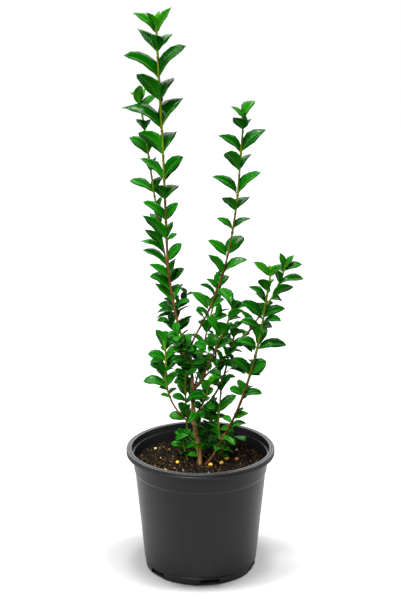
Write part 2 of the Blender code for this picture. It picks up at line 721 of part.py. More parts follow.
def grow(plant, shoot):
    """Grow a shoot: leaf pairs each turned a quarter from the last, side twigs, and a pair at the tip."""
    rng = random.Random(shoot.seed)
    path = plant.paths[shoot.name]
    spacing = shoot.length / STEP_COUNT
    sizes = np.linspace(0, 1, len(shoot.leaf))
    shapes = np.linspace(0, 1, len(shoot.shape))
    own, leaves, twigs = [], [], []
    distances = nodes_along(shoot, plant.starts[shoot.name])
    for number, distance in enumerate(distances):
        share = distance / shoot.length
        centre, direction = along(path, distance, spacing)
        turn = shoot.first_turn + 90 * number + rng.uniform(-TURN_SPREAD, TURN_SPREAD)
        radius = limb_radius(shoot, distance)
        length = float(np.interp(share, sizes, shoot.leaf))
        shape = float(np.interp(share, shapes, shoot.shape))
        for outward in pair_directions(direction, turn):
            arguments = (centre, outward, direction, radius, length, shape, rise_at(shoot, share))
            leaf = place_leaf(plant, shoot.name, own, arguments, rng)
            if leaf is not None:
                leaves.append(leaf)
            if rng.random() < shoot.twig_share:
                reach = shoot.twig_length * rng.uniform(*TWIG_LENGTH_SPREAD)
                mesh, points, bend = make_twig(plant, shoot, centre, outward, direction, reach, rng)
                if mesh is not None:
                    twigs.append(mesh)
                    small = length * TWIG_LEAF
                    leaves += twig_leaves(plant, shoot, points, bend, turn, small, own, rng)
    centre, direction = along(path, shoot.length - TIP_SINK, spacing)
    turn = shoot.first_turn + 90 * len(distances)
    for quarter, share in TIP_PAIRS:
        length = shoot.leaf[-1] * shoot.tip_leaf * share
        for outward in pair_directions(direction, turn + quarter):
            arguments = (centre, outward, direction, shoot.radii[1], length, shoot.shape[-1], TIP_RISE)
            leaf = place_leaf(plant, shoot.name, own, arguments, rng)
            if leaf is not None:
                leaves.append(leaf)
    return leaves, twigs


def keep_largest_body(mesh):
    """Drop loose scraps: keep only the connected body with the most faces."""
    shape = bmesh.new()
    shape.from_mesh(mesh)
    unseen = set(shape.faces)
    bodies = []
    while unseen:
        front = [unseen.pop()]
        body = set(front)
        while front:
            face = front.pop()
            for edge in face.edges:
                for other in edge.link_faces:
                    if other in unseen:
                        unseen.discard(other)
                        body.add(other)
                        front.append(other)
        bodies.append(body)
    bodies.sort(key=len)
    scraps = [face for body in bodies[:-1] for face in body]
    bmesh.ops.delete(shape, geom=scraps, context="FACES")
    shape.to_mesh(mesh)
    shape.free()
    return len(bodies) - 1


def join_mass(plant, shoot, stem, leaves, twigs):
    """Join the stem, the side twigs and the leaves of a shoot in one Boolean union."""
    holder = new_collection(shoot.name + "_pieces")
    pieces = [mesh_object(f"{shoot.name}_twig_{i}", mesh, holder) for i, mesh in enumerate(twigs)]
    for i, leaf in enumerate(leaves):
        mesh = from_polygons(f"{shoot.name}_leaf_{i}", *leaf_geometry(leaf))
        pieces.append(mesh_object(f"{shoot.name}_leaf_{i}", mesh, holder))
    union = stem.modifiers.new("Join", "BOOLEAN")
    union.operation = "UNION"
    union.operand_type = "COLLECTION"
    union.collection = holder
    union.solver = "MANIFOLD"
    mesh = evaluated_mesh(stem)
    scraps = keep_largest_body(mesh)
    if scraps:
        print(shoot.name, "loose scraps dropped", scraps)
    stem.modifiers.clear()
    stem.data = mesh
    for piece in pieces:
        bpy.data.objects.remove(piece, do_unlink=True)
    bpy.data.collections.remove(holder)
    plant.trees[shoot.name] = []
    plant.add_tree(shoot.name, mesh)


def make_limbs(plant):
    """The trunk, the stems and the boughs, each a tapering limb with bark."""
    for limb in LIMBS:
        obj = mesh_object(limb.name, plant.stem_mesh(limb, 2), plant.parts)
        obj.data.materials.append(material(limb.name, "bark"))


def make_shoots(plant):
    """All the shoots' stems first, so that leaves keep clear of them, and then their leaves."""
    stems = {shoot.name: mesh_object(shoot.name, plant.stem_mesh(shoot, 0), plant.parts)
             for shoot in SHOOTS}
    total = 0
    for shoot in SHOOTS:
        leaves, twigs = grow(plant, shoot)
        total += len(leaves)
        join_mass(plant, shoot, stems[shoot.name], leaves, twigs)
        stems[shoot.name].data.materials.append(material(shoot.name, "foliage"))
        print(shoot.name, "leaves", len(leaves), "twigs", len(twigs))
    print("leaves in all", total)


def main():
    """Build the pot, the compost and the plant."""
    clear_scene()
    parts = new_collection("potted_privet")
    cutters = new_collection("cutters")
    pot = make_pot(parts, cutters)
    compost = make_compost(parts)
    plant = Plant(parts)
    bpy.context.view_layer.update()
    for obj in (pot, compost):
        plant.add_tree(obj.name, evaluated_mesh(obj))
    make_limbs(plant)
    make_shoots(plant)


main()
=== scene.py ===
# %% [markdown]
# # A young privet in a nursery pot
# Black moulded plastic, crumbly compost, and a shrub whose glossy leaves sit in pairs, each pair turned a
# quarter from the one below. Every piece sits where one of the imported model's solids sits. Lengths are in
# millimetres, as a gardener would measure them, and become metres only when a mesh is made.

# %% Load the frame
import json
import math
import random
from dataclasses import dataclass

import bpy
import numpy as np
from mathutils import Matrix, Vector
from mathutils.bvhtree import BVHTree

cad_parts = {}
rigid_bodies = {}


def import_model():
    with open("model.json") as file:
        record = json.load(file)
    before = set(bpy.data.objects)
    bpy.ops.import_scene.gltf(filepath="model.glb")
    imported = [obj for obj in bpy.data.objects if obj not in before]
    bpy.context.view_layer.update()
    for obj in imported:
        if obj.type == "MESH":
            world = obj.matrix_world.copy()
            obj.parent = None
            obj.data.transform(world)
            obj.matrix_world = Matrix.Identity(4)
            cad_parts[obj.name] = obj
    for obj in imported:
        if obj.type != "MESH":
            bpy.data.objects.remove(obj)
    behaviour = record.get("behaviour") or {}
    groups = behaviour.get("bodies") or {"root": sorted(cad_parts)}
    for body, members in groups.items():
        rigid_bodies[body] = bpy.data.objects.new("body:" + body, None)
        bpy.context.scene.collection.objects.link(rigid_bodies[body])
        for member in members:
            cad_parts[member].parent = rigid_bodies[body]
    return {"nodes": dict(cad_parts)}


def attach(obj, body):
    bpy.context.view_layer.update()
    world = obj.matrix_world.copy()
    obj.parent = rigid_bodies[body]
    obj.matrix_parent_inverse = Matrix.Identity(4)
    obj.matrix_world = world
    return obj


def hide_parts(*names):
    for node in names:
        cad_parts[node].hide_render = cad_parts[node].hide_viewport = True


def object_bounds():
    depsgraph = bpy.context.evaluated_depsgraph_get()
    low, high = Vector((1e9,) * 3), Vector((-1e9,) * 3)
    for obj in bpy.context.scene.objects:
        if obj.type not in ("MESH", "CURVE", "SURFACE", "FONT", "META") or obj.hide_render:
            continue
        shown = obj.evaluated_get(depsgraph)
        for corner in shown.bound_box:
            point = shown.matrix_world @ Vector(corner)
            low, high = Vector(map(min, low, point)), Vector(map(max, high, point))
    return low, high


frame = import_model()
cad_low, cad_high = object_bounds()
MM = 0.001
print("solids in the frame:", len(frame["nodes"]), "height", round(cad_high.z / MM, 1), "mm")


# %% [markdown]
# ## Camera, light and floor
# The picture was taken from a little above the pot's rim with a long lens. The camera was found by fitting
# three ellipses of the pot. The pot's dark front with a paler edge on each side says that the soft light
# comes from both sides and from above, and little from the camera.

# %% Camera
CAMERA_BACK, CAMERA_HEIGHT, CAMERA_PITCH, CAMERA_LENS = 1.65, 0.808, 15.38, 82.3


def add_object(name, data, place=(0, 0, 0), turn=(0, 0, 0)):
    """Link an object to the scene, at a place and with a turn."""
    made = bpy.data.objects.new(name, data)
    made.location, made.rotation_euler = place, turn
    bpy.context.scene.collection.objects.link(made)
    return made


lens = bpy.data.cameras.new("camera")
lens.lens = CAMERA_LENS
tipped = (math.radians(90.0 - CAMERA_PITCH), 0.0, 0.0)
bpy.context.scene.camera = add_object("camera", lens, (0.0, -CAMERA_BACK, CAMERA_HEIGHT), tipped)
bpy.context.scene.view_settings.view_transform = "Standard"
print(f"camera {CAMERA_HEIGHT} m high and {CAMERA_BACK} m back, tipped down by {CAMERA_PITCH} degrees")

# %% Light
AMBIENT, SEEN_WHITE = 0.06, 1.0
MIDDLE = Vector((0.0, 0.0, 0.35))


def give(look, made, inputs):
    """Set a shader node's inputs: numbers and colours, or links from other nodes' outputs."""
    for key, value in inputs.items():
        if isinstance(value, bpy.types.NodeSocket):
            look.node_tree.links.new(value, made.inputs[key])
        else:
            made.inputs[key].default_value = value


def node(look, kind, inputs=None):
    """Add a shader node with its inputs."""
    made = look.node_tree.nodes.new("ShaderNode" + kind)
    give(look, made, inputs or {})
    return made


def make_world():
    """A white surround: full white where it is looked at, and dimmer where it only lights the plant."""
    world = bpy.data.worlds.new("white_room")
    world.use_nodes = True
    world.node_tree.nodes.clear()
    white = {"Color": (1.0, 1.0, 1.0, 1.0)}
    lights = node(world, "Background", {**white, "Strength": AMBIENT})
    seen = node(world, "Background", {**white, "Strength": SEEN_WHITE})
    ray = node(world, "LightPath").outputs["Is Camera Ray"]
    mix = node(world, "MixShader", {"Fac": ray, 1: lights.outputs[0], 2: seen.outputs[0]})
    node(world, "OutputWorld", {"Surface": mix.outputs[0]})
    bpy.context.scene.world = world


def soft_box(name, power, place, size):
    """A soft box of some width and height that faces the plant, and that the camera doesn't see."""
    data = bpy.data.lights.new(name, "AREA")
    data.shape, data.energy = "RECTANGLE", power
    data.size, data.size_y = size
    lamp = add_object(name, data, place, (MIDDLE - Vector(place)).to_track_quat("-Z", "Y").to_euler())
    lamp.visible_camera = False
    return lamp


make_world()
BOXES = [
    soft_box("top_box", 205.0, (-0.65, -1.05, 3.5), (1.1, 1.1)),
    soft_box("front_box", 49.0, (-0.7, -1.9, 1.9), (1.2, 1.0)),
    soft_box("left_box", 6.5, (-1.40, 0.05, 0.60), (1.2, 1.3)),
    soft_box("right_box", 6.0, (1.40, 0.05, 0.60), (1.2, 1.3)),
    soft_box("back_box", 36.0, (0.2, 1.7, 1.9), (2.4, 1.4)),
    soft_box("low_back_box", 30.0, (0.0, 2.5, 1.25), (2.6, 0.8)),
]
print("soft boxes:", ", ".join(f"{box.name} {box.data.energy:.0f} W" for box in BOXES))


# %% [markdown]
# ## Meshes from arrays
# All shapes here are arrays of points, so one helper turns points and faces into a mesh. Each face can
# carry the number of the material it wears.

# %% Mesh helpers
def mesh_from(name, points, faces, looks=None, places=None):
    """A mesh from points in millimetres, arrays of faces, a material number and UV places per face."""
    arrays = [np.asarray(part, dtype=np.int32) for part in faces if len(part)]
    corners = np.concatenate([part.ravel() for part in arrays])
    sizes = np.concatenate([np.full(len(part), part.shape[1]) for part in arrays])
    starts = np.concatenate([[0], np.cumsum(sizes)[:-1]])
    mesh = bpy.data.meshes.new(name)
    mesh.vertices.add(len(points))
    mesh.vertices.foreach_set("co", (np.asarray(points, dtype=np.float32) * MM).ravel())
    mesh.loops.add(len(corners))
    mesh.loops.foreach_set("vertex_index", corners)
    mesh.polygons.add(len(sizes))
    mesh.polygons.foreach_set("loop_start", starts.astype(np.int32))
    mesh.polygons.foreach_set("loop_total", sizes.astype(np.int32))
    if looks is not None:
        mesh.polygons.foreach_set("material_index", np.asarray(looks, dtype=np.int32))
    mesh.update(calc_edges=True)
    if places is not None:
        layer = mesh.uv_layers.new(name="LeafMap")
        layer.data.foreach_set("uv", places[corners].astype(np.float32).ravel())
    mesh.shade_smooth()
    return mesh


def add_piece(name, mesh, materials, slot, *nodes):
    """Link a mesh as a piece that rides on the plant's body and stands for some of its solids."""
    piece = add_object(name, mesh)
    for material in materials:
        mesh.materials.append(material)
    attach(piece, "root")
    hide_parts(*nodes)
    return piece


class Gathered:
    """Points and faces of many small shapes, gathered for one mesh."""

    def __init__(self):
        self.points, self.faces, self.looks, self.places, self.count = [], [], [], [], 0

    def add(self, points, groups, places=None):
        """Add a shape: its points, and groups of faces with a look for each face."""
        for faces, looks in groups:
            self.faces.append(faces + self.count)
            self.looks.append(np.broadcast_to(looks, len(faces)))
        self.points.append(points)
        if places is not None:
            self.places.append(places)
        self.count += len(points)

    def mesh(self, name):
        """One mesh of all that was gathered."""
        places = np.vstack(self.places) if self.places else None
        return mesh_from(name, np.vstack(self.points), self.faces, np.concatenate(self.looks), places)


def grid_faces(grid):
    """A face for every cell of a grid of point numbers."""
    return np.stack([grid[:-1, :-1], grid[1:, :-1], grid[1:, 1:], grid[:-1, 1:]], axis=2).reshape(-1, 4)


def flipped(faces):
    """The same faces turned over, each from the same first corner."""
    return np.roll(faces[:, ::-1], 1, axis=1)


def ring_faces(rings, sides):
    """Faces between closed rings, and fans to the two middle points that come after all rings."""
    grid = np.arange(rings * sides).reshape(rings, sides)
    after = np.roll(grid, -1, axis=1)
    first, last = np.full(sides, grid.size), np.full(sides, grid.size + 1)
    fans = [np.stack([first, after[0], grid[0]], axis=1), np.stack([last, grid[-1], after[-1]], axis=1)]
    return flipped(grid_faces(np.hstack([grid, grid[:, :1]]))), np.concatenate(fans)


print("faces of a tube of 3 rings with 6 sides:", [len(faces) for faces in ring_faces(3, 6)])


# %% [markdown]
# ## Finishes
# Every finish is a Principled shader with a little procedural relief. Where a colour has its own place,
# such as a leaf's midrib or pale underside, the faces there wear a plain colour of their own; the underside's
# pale green is brightened further with painted light, standing in for light that comes through the leaf.
# Only plastic, compost and bark mix two colours by noise, because there the eye expects mottling and no place
# matters.

# %% Material helpers
def finish(look, inputs):
    """Set inputs of a material's Principled shader."""
    give(look, look.node_tree.nodes["Principled BSDF"], inputs)


def plain(name, colour, roughness, specular=0.5):
    """A material of one colour, with its roughness and gloss."""
    look = bpy.data.materials.new(name)
    look.use_nodes = True
    finish(look, {"Base Color": (*colour, 1.0), "Roughness": roughness, "Specular IOR Level": specular})
    return look


def noise(look, scale, detail, stretch=(1.0, 1.0, 1.0)):
    """The level of a noise on the piece's own coordinates, in repeats per metre."""
    where = node(look, "TexCoord").outputs["Object"]
    place = node(look, "Mapping", {"Vector": where, "Scale": stretch}).outputs["Vector"]
    return node(look, "TexNoise", {"Vector": place, "Scale": scale, "Detail": detail}).outputs["Fac"]


def relief(look, height, strength, distance=0.0003):
    """The same finish with relief from a height."""
    bump = node(look, "Bump", {"Height": height, "Strength": strength, "Distance": distance})
    finish(look, {"Normal": bump.outputs["Normal"]})
    return look


def dimpled(*arguments):
    """A plain finish with a faint relief of noise, which breaks up its shine."""
    look = plain(*arguments)
    return relief(look, noise(look, 900.0, 2.0), 0.10)


def mottled(look, dark, light, *grain):
    """The same finish with two colours that are mixed by a noise."""
    ramp = node(look, "ValToRGB", {"Fac": noise(look, *grain)})
    for stop, place, colour in zip(ramp.color_ramp.elements, (0.35, 0.65), (dark, light)):
        stop.position, stop.color = place, (*colour, 1.0)
    finish(look, {"Base Color": ramp.outputs["Color"]})
    return look


PLASTIC = plain("black_plastic", (0.010, 0.010, 0.0105), 0.37, 0.25)
mottled(PLASTIC, (0.0080, 0.0080, 0.0084), (0.0118, 0.0118, 0.0122), 14.0, 3.0, (1.0, 1.0, 0.25))
relief(PLASTIC, noise(PLASTIC, 900.0, 2.0), 0.12, 0.0004)
print("nodes in the plastic's shader:", len(PLASTIC.node_tree.nodes))

# %% Compost colours
def compost_look(name, dark, light):
    """Moist peat and bark: two browns mixed by a fine noise, rough all over."""
    look = mottled(plain(name, dark, 0.95, 0.12), dark, light, 420.0, 5.0)
    return relief(look, noise(look, 1500.0, 4.0), 0.5, 0.0006)


SOIL = compost_look("compost_fill", (0.0016, 0.0011, 0.0007), (0.008, 0.0050, 0.0026))
CRUMB_LOOKS = [
    compost_look("crumb_black", (0.0016, 0.0012, 0.0009), (0.005, 0.0034, 0.0022)),
    compost_look("crumb_brown", (0.008, 0.0050, 0.0018), (0.028, 0.0175, 0.0060)),
    compost_look("crumb_red_brown", (0.036, 0.020, 0.006), (0.090, 0.052, 0.020)),
    compost_look("crumb_tan", (0.14, 0.085, 0.038), (0.30, 0.19, 0.09)),
]
GRANULE_LOOKS = [
    dimpled("granule_gold", (0.66, 0.38, 0.035), 0.45),
    dimpled("granule_pale", (0.62, 0.50, 0.26), 0.6),
    dimpled("granule_amber", (0.36, 0.13, 0.02), 0.5),
]
print("compost colours:", len(CRUMB_LOOKS), "for crumbs and", len(GRANULE_LOOKS), "for feed granules")

# %% Leaf and bark colours
VEIN_SLANT, VEIN_PAIRS = -0.30, 7.0


def leaf_look(name, colour, roughness=0.20, veins=0.12, specular=0.10):
    """A waxy leaf surface, with side veins in relief: waves that slant from the midrib to the tip."""
    look = plain(name, colour, roughness, specular)
    where = node(look, "UVMap")
    where.uv_map = "LeafMap"
    parts = node(look, "SeparateXYZ", {"Vector": where.outputs["UV"]}).outputs
    value = parts["X"]
    for operation, other in (("ABSOLUTE", 0.0), ("MULTIPLY", VEIN_SLANT), ("ADD", parts["Y"]),
                             ("MULTIPLY", VEIN_PAIRS * math.tau), ("SINE", 0.0)):
        step = node(look, "Math", {0: value, 1: other})
        step.operation = operation
        value = step.outputs["Value"]
    return relief(look, value, veins)


def bark_look(name, dark, light, roughness, strength):
    """Bark: two browns in streaks along the limb, and fine relief."""
    look = mottled(plain(name, dark, roughness, 0.15), dark, light, 260.0, 4.0, (1.0, 1.0, 0.22))
    return relief(look, noise(look, 700.0, 4.0, (1.0, 1.0, 0.35)), strength, 0.0007)


# The underside colours are the leaf's own pale green brightened with painted light, standing in for light
# that comes through the leaf.
UNDER_PAINTED_LIGHT, UNDER_YOUNG_PAINTED_LIGHT, RIB, UNDER_RIB = 5, 6, 7, 8
BLADE_LOOKS = [
    leaf_look("leaf_deep", (0.0010, 0.070, 0.0004)),
    leaf_look("leaf_mid", (0.0036, 0.112, 0.0010)),
    leaf_look("leaf_fresh", (0.0085, 0.126, 0.0015)),
    leaf_look("leaf_young", (0.0140, 0.138, 0.0020)),
    leaf_look("leaf_tip", (0.0300, 0.185, 0.0030)),
    # Pale undersides with painted light added: light through the leaf is painted into their green.
    leaf_look("leaf_under_with_painted_light", (0.0110, 0.190, 0.0024), 0.50, 0.15, 0.05),
    leaf_look("leaf_under_young_with_painted_light", (0.044, 0.360, 0.0044), 0.45, 0.15, 0.05),
    dimpled("leaf_rib", (0.060, 0.200, 0.008), 0.4, 0.2),
    dimpled("leaf_under_rib", (0.070, 0.230, 0.016), 0.45, 0.15),
]
OLD, BROWN, RIPENING, GREEN, YOUNG, JOINT = range(6)
STEM_LOOKS = [
    bark_look("trunk_bark", (0.072, 0.034, 0.009), (0.34, 0.185, 0.068), 0.8, 0.8),
    bark_look("brown_bark", (0.052, 0.021, 0.005), (0.17, 0.078, 0.020), 0.65, 0.4),
    bark_look("ripening_stem", (0.060, 0.060, 0.004), (0.14, 0.130, 0.010), 0.55, 0.25),
    bark_look("green_stem", (0.070, 0.120, 0.003), (0.15, 0.230, 0.008), 0.45, 0.15),
    dimpled("young_stem", (0.12, 0.27, 0.008), 0.4, 0.15),
    dimpled("stem_joint", (0.13, 0.075, 0.014), 0.6, 0.15),
]
print("finishes:", len(BLADE_LOOKS), "on leaves,", len(STEM_LOOKS), "on stems")

# %% Floor
FLOOR_SIZE, FLOOR_LEVEL = 8.0, -0.2
FLOOR_SUN, FLOOR_SUN_ANGLE, FLOOR_SUN_TILT = 4.6, 12.0, 2.0
FLOOR_SUN_TURNS = (-13.0, 0.0, 13.0)


def make_floor():
    """A wide white table top, just under the pot."""
    half = FLOOR_SIZE / MM / 2
    corners = [(-half, -half, FLOOR_LEVEL), (half, -half, FLOOR_LEVEL),
               (half, half, FLOOR_LEVEL), (-half, half, FLOOR_LEVEL)]
    floor = add_object("floor", mesh_from("floor", corners, [[(0, 1, 2, 3)]]))
    floor.data.materials.append(plain("white_table", (0.93, 0.93, 0.93), 0.9, 0.1))
    floor.visible_diffuse = False
    return floor


def link_light(name, thing, lamps, state):
    """Let lamps light one thing alone, or all but that thing."""
    group = bpy.data.collections.new(name)
    group.objects.link(thing)
    group.collection_objects[0].light_linking.link_state = state
    for lamp in lamps:
        lamp.light_linking.receiver_collection = group


def floor_sun(turn):
    """A soft sun, one of several side by side, that leaves a wide shallow shadow."""
    data = bpy.data.lights.new("floor_sun", "SUN")
    data.energy, data.angle = FLOOR_SUN / len(FLOOR_SUN_TURNS), math.radians(FLOOR_SUN_ANGLE)
    return add_object("floor_sun", data, turn=(math.radians(FLOOR_SUN_TILT), math.radians(turn), 0.0))


table = make_floor()
link_light("lit_by_floor_sun", table, [floor_sun(turn) for turn in FLOOR_SUN_TURNS], "INCLUDE")
link_light("not_lit_by_boxes", table, BOXES, "EXCLUDE")
print("floor:", FLOOR_SIZE, "m wide, lit by", len(FLOOR_SUN_TURNS), "suns", FLOOR_SUN_ANGLE, "degrees wide")


# %% [markdown]
# ## How the plant grows
# A plant is its own recipe. Every stem is a tapering path whose lean changes slowly from foot to tip, and
# every leafy shoot sets pairs of leaves along it, with small differences from a seeded list of chances.
# The tables hold what was measured on the picture. Growing the crown by the same recipe as the packed
# solids puts every leaf where its solid is. Then the recipe is carried on to finer twigs.

# %% Limbs and shoots
@dataclass
class Limb:
    """A tapering limb. It starts on the ground at foot, or at the share `at` of its parent's length.

    A leafy one also has the gaps between its pairs, the lengths and the shapes of its leaves, each read
    from foot to tip, the turn of its first pair and the bare length below it.
    """

    name: str
    parent: str
    at: float
    length: float
    side: tuple
    back: tuple
    radii: tuple
    gaps: tuple = ()
    leaf: tuple = ()
    shape: tuple = ()
    turn: float = 0.0
    bare: float = 0.0
    seed: int = 0
    foot: tuple = (0.0, 0.0)
    shift: tuple = (0.0, 0.0)
    flare: float = 0.0
    rise: tuple = (64.0, 8.0)
    tip_leaf: float = 0.6
    twig_share: float = 0.0
    twig_length: float = 22.0


LIMBS = (
    Limb("trunk", "", 1, 104, (5, -14, -2, 1), (2, 0, -2), (4.8, 3.8), foot=(-1.4, -9.5), flare=1.6),
    Limb("right_stem", "", 1, 43, (38, 27, 20), (-10, -13), (2.5, 2.1), foot=(6.4, -10.4), flare=0.8),
    Limb("left_stem", "", 1, 58, (-27, -9, -3), (-10, -8), (2.3, 1.7), foot=(-6.2, 15), flare=0.8),
    Limb("leader_bough", "trunk", 1, 89, (-6, -2, -28, -10), (0, 4, 6), (3.1, 2.1)),
    Limb("centre_bough", "leader_bough", 0.52, 66, (10, 27, 24), (-14, -12), (2, 1.6)),
    Limb("middle_bough", "trunk", 1, 59, (50, 14, 27), (-24, -16), (2.1, 1.5)),
    Limb("low_right_bough", "trunk", 0.65, 128, (60, 33, 8, 69), (26, 18), (2.2, 1.5)),
    Limb("inner_bough", "trunk", 1, 40, (54, 43, 59), (30, 22), (1.7, 1.3)),
    Limb("back_left_bough", "trunk", 0.8, 62, (-30, -16, -8), (52, 34, 20), (1.9, 1.3)),
    Limb("back_right_bough", "trunk", 0.9, 66, (14, 18, 8), (56, 40, 24), (1.9, 1.3)),
)
SHOOTS = (
    Limb("leader_foliage", "leader_bough", 1, 368, (-14, -2, -2, -3, -2), (5, 1, -2), (1.9, 0.9),
         (20, 22, 27, 31, 29, 16), (27, 28, 30, 42, 54, 45), (0.5, 0.36), -115, 17, 11, rise=(66, 15),
         tip_leaf=0.4),
    Limb("second_foliage", "leader_bough", 1, 274, (-11, -11, -8, -9), (16, 10, 4), (1.3, 0.8),
         (19, 15, 24, 25, 12), (24, 30, 32, 31, 27), (0.48, 0.42), -20, 12, 12, shift=(-0.4, 3.6),
         tip_leaf=0.85),
    Limb("centre_foliage", "centre_bough", 1, 253, (23, 11, 4, 4), (-10, -2, 2), (1.5, 0.8),
         (20, 29, 22, 27, 26), (28, 29, 30, 37, 41, 30), (0.52, 0.38), -20, 6, 13, tip_leaf=0.8),
    Limb("middle_foliage", "middle_bough", 1, 78, (24, 21, 12), (-12, -4), (1.4, 0.8), (15, 17, 14),
         (25, 29, 27, 20), (0.5, 0.42), 20, 5, 14, twig_share=0.3),
    Limb("low_right_foliage", "low_right_bough", 1, 102, (35, 34, 13), (12, 4), (1.4, 0.8), (22, 15, 11),
         (26, 31, 34, 27), (0.46, 0.38), -10, 6, 15, twig_share=0.15),
    Limb("inner_foliage", "inner_bough", 1, 56, (56, 26, -4), (24, 12), (1.2, 0.8), (13, 13), (22, 25, 20),
         (0.52, 0.48), 10, 4, 36, twig_share=0.4),
    Limb("side_foliage", "low_right_bough", 0.46, 60, (-28, -4, 8), (-10, 2), (1.2, 0.8), (13, 14),
         (20, 24, 19), (0.56, 0.5), 50, 7, 28, twig_share=0.2),
    Limb("right_foliage", "right_stem", 1, 238, (29, 18, 13, 8, 8), (-14, -10, -2), (2, 0.8),
         (17, 18, 24, 38, 18, 11), (18, 25, 31, 36, 35, 26), (0.6, 0.4), -15, 8, 17, twig_share=0.1),
    Limb("right_upright_foliage", "right_stem", 1, 79, (-8, 6, 2), (16, 0), (1.2, 0.8), (14, 16, 13),
         (23, 28, 27, 20), (0.5, 0.46), 25, 13, 18, shift=(-1.6, 2.6), twig_share=0.15),
    Limb("left_foliage", "left_stem", 1, 112, (-50, -20, 4, -12), (4, 6), (1.4, 0.8), (21, 15, 22),
         (22, 29, 33, 27, 25), (0.58, 0.52), 5, 11, 19, twig_share=0.15),
    Limb("left_upright_foliage", "left_stem", 1, 72, (-7, -1, 3), (-22, -8), (1.2, 0.8), (16, 16, 14),
         (22, 27, 26, 24), (0.58, 0.6), -40, 10, 20, shift=(1.5, -1.5), twig_share=0.25),
    Limb("fork_foliage", "leader_bough", 0.3, 46, (-34, -12, 4), (-26, -14), (1.2, 0.8), (12, 13),
         (20, 24, 18), (0.56, 0.5), 30, 8, 21, twig_share=0.4),
    Limb("back_left_foliage", "back_left_bough", 1, 78, (-12, -4, 0), (24, 8), (1.2, 0.8), (15, 15),
         (24, 28, 26, 20), (0.54, 0.46), 40, 4, 22, twig_share=0.2),
    Limb("back_right_foliage", "back_right_bough", 1, 92, (12, 16, 6), (26, 12), (1.2, 0.8), (16, 16),
         (24, 29, 27, 20), (0.54, 0.46), 15, 4, 23, twig_share=0.1),
    Limb("trunk_foliage", "trunk", 0.62, 62, (28, 22, 12), (-34, -16), (1.2, 0.8), (13, 14), (18, 24, 22),
         (0.6, 0.52), 60, 9, 24, twig_share=0.2),
    Limb("basal_left_foliage", "", 1, 40, (-16, -8), (4, 0), (1.1, 0.7), (9, 11), (17, 18, 15), (0.62, 0.56),
         0, 7, 25, foot=(-16, -1), rise=(46, -6), twig_share=0.15, twig_length=14),
    Limb("basal_right_foliage", "", 1, 44, (30, 18), (-4, 4), (1.1, 0.7), (10, 11), (15, 19, 16), (0.6, 0.54),
         30, 8, 26, foot=(20, 2), rise=(46, -6), twig_share=0.05, twig_length=14),
    Limb("basal_back_foliage", "", 1, 72, (8, 14, 10), (22, 14), (1.3, 0.8), (12, 14), (17, 22, 24, 18),
         (0.58, 0.5), 70, 9, 27, foot=(4, 16), rise=(58, 0), twig_share=0.15, twig_length=18),
)
print("limbs:", len(LIMBS), "leafy shoots:", len(SHOOTS))

# %% Paths
SOIL_LEVEL, FOOT_SINK = 141.0, 3.0
GROUND = SOIL_LEVEL + 0.3
STEP_COUNT = 40
FLARE_FADE = 7.0
PATHS = {}


def unit(vector):
    """A vector of length one, or a whole array of them."""
    return vector / np.linalg.norm(vector, axis=-1, keepdims=True)


def blend(ends, share):
    """What lies at a share of the way from one end to the other."""
    return ends[0] + (ends[1] - ends[0]) * share


def read_at(values, share):
    """A row of even values, read at a share of its length."""
    return np.interp(share, np.linspace(0, 1, len(values)), values)


def path_at(limb, distances):
    """Points of a limb's path at one or many distances along it."""
    return np.stack([read_at(axis, distances / limb.length) for axis in PATHS[limb.name].T], axis=-1)


def along(limb, distance):
    """The point and the direction at a distance along a limb's path."""
    points = PATHS[limb.name]
    place = min(max(distance / (limb.length / STEP_COUNT), 0.0), STEP_COUNT - 0.001)
    index = int(place)
    step = points[index + 1] - points[index]
    return points[index] + (place - index) * step, unit(step)


def limb_radius(limb, distance):
    """The limb's radius at a distance from its foot: an even taper, and a flare that fades above it."""
    return blend(limb.radii, distance / limb.length) + limb.flare * np.exp(-np.asarray(distance) / FLARE_FADE)


def path_of(limb, limbs):
    """A path of even steps whose lean from upright, sideways and backwards, runs through given angles."""
    start = np.array([*limb.foot, GROUND - FOOT_SINK])
    if limb.parent:
        start = path_at(limbs[limb.parent], limb.at * limbs[limb.parent].length) + [*limb.shift, 0.0]
    shares = (np.arange(STEP_COUNT) + 0.5) / STEP_COUNT
    leans = [np.tan(np.radians(read_at(angles, shares))) for angles in (limb.side, limb.back)]
    steps = unit(np.stack([*leans, np.ones(STEP_COUNT)], axis=1)) * limb.length / STEP_COUNT
    return np.vstack([start, start + np.cumsum(steps, axis=0)])


for limb in (*LIMBS, *SHOOTS):
    PATHS[limb.name] = path_of(limb, {other.name: other for other in LIMBS})
print("length of all stems:", round(sum(limb.length for limb in (*LIMBS, *SHOOTS))), "mm")


# %% [markdown]
# ## Leaves where the solids have them
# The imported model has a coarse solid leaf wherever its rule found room. The same rule runs again with the
# same seeds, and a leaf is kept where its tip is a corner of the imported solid.

# %% What the solids hold
SAME_PLACE, FIRST_SECTION = 0.05, 0.4
FOOT_REACH, FOOT_STEP = 15.0, 0.2


def solid_points(name):
    """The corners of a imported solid, in millimetres."""
    mesh = frame["nodes"][name].data
    points = np.empty(len(mesh.vertices) * 3)
    mesh.vertices.foreach_get("co", points)
    return points.reshape(-1, 3) / MM


def holds(corners, point):
    """Whether a point is one of a solid's corners."""
    return bool((((corners - point) ** 2).sum(axis=1) < SAME_PLACE ** 2).any())


def first_ring(limb, corners):
    """How far along its path the shoot's solid starts: the step nearest the middle of its first section."""
    if not limb.parent:
        return 0.0
    start, direction = along(limb, 0.0)
    height = (corners - start) @ direction
    ring = np.unique(np.round(corners[height < height.min() + FIRST_SECTION], 3), axis=0).mean(axis=0)
    steps = np.arange(0, FOOT_REACH, FOOT_STEP)
    return float(steps[np.argmin(np.linalg.norm(path_at(limb, steps) - ring, axis=1))])


print("corners of the leader's solid:", len(solid_points("leader_foliage")))

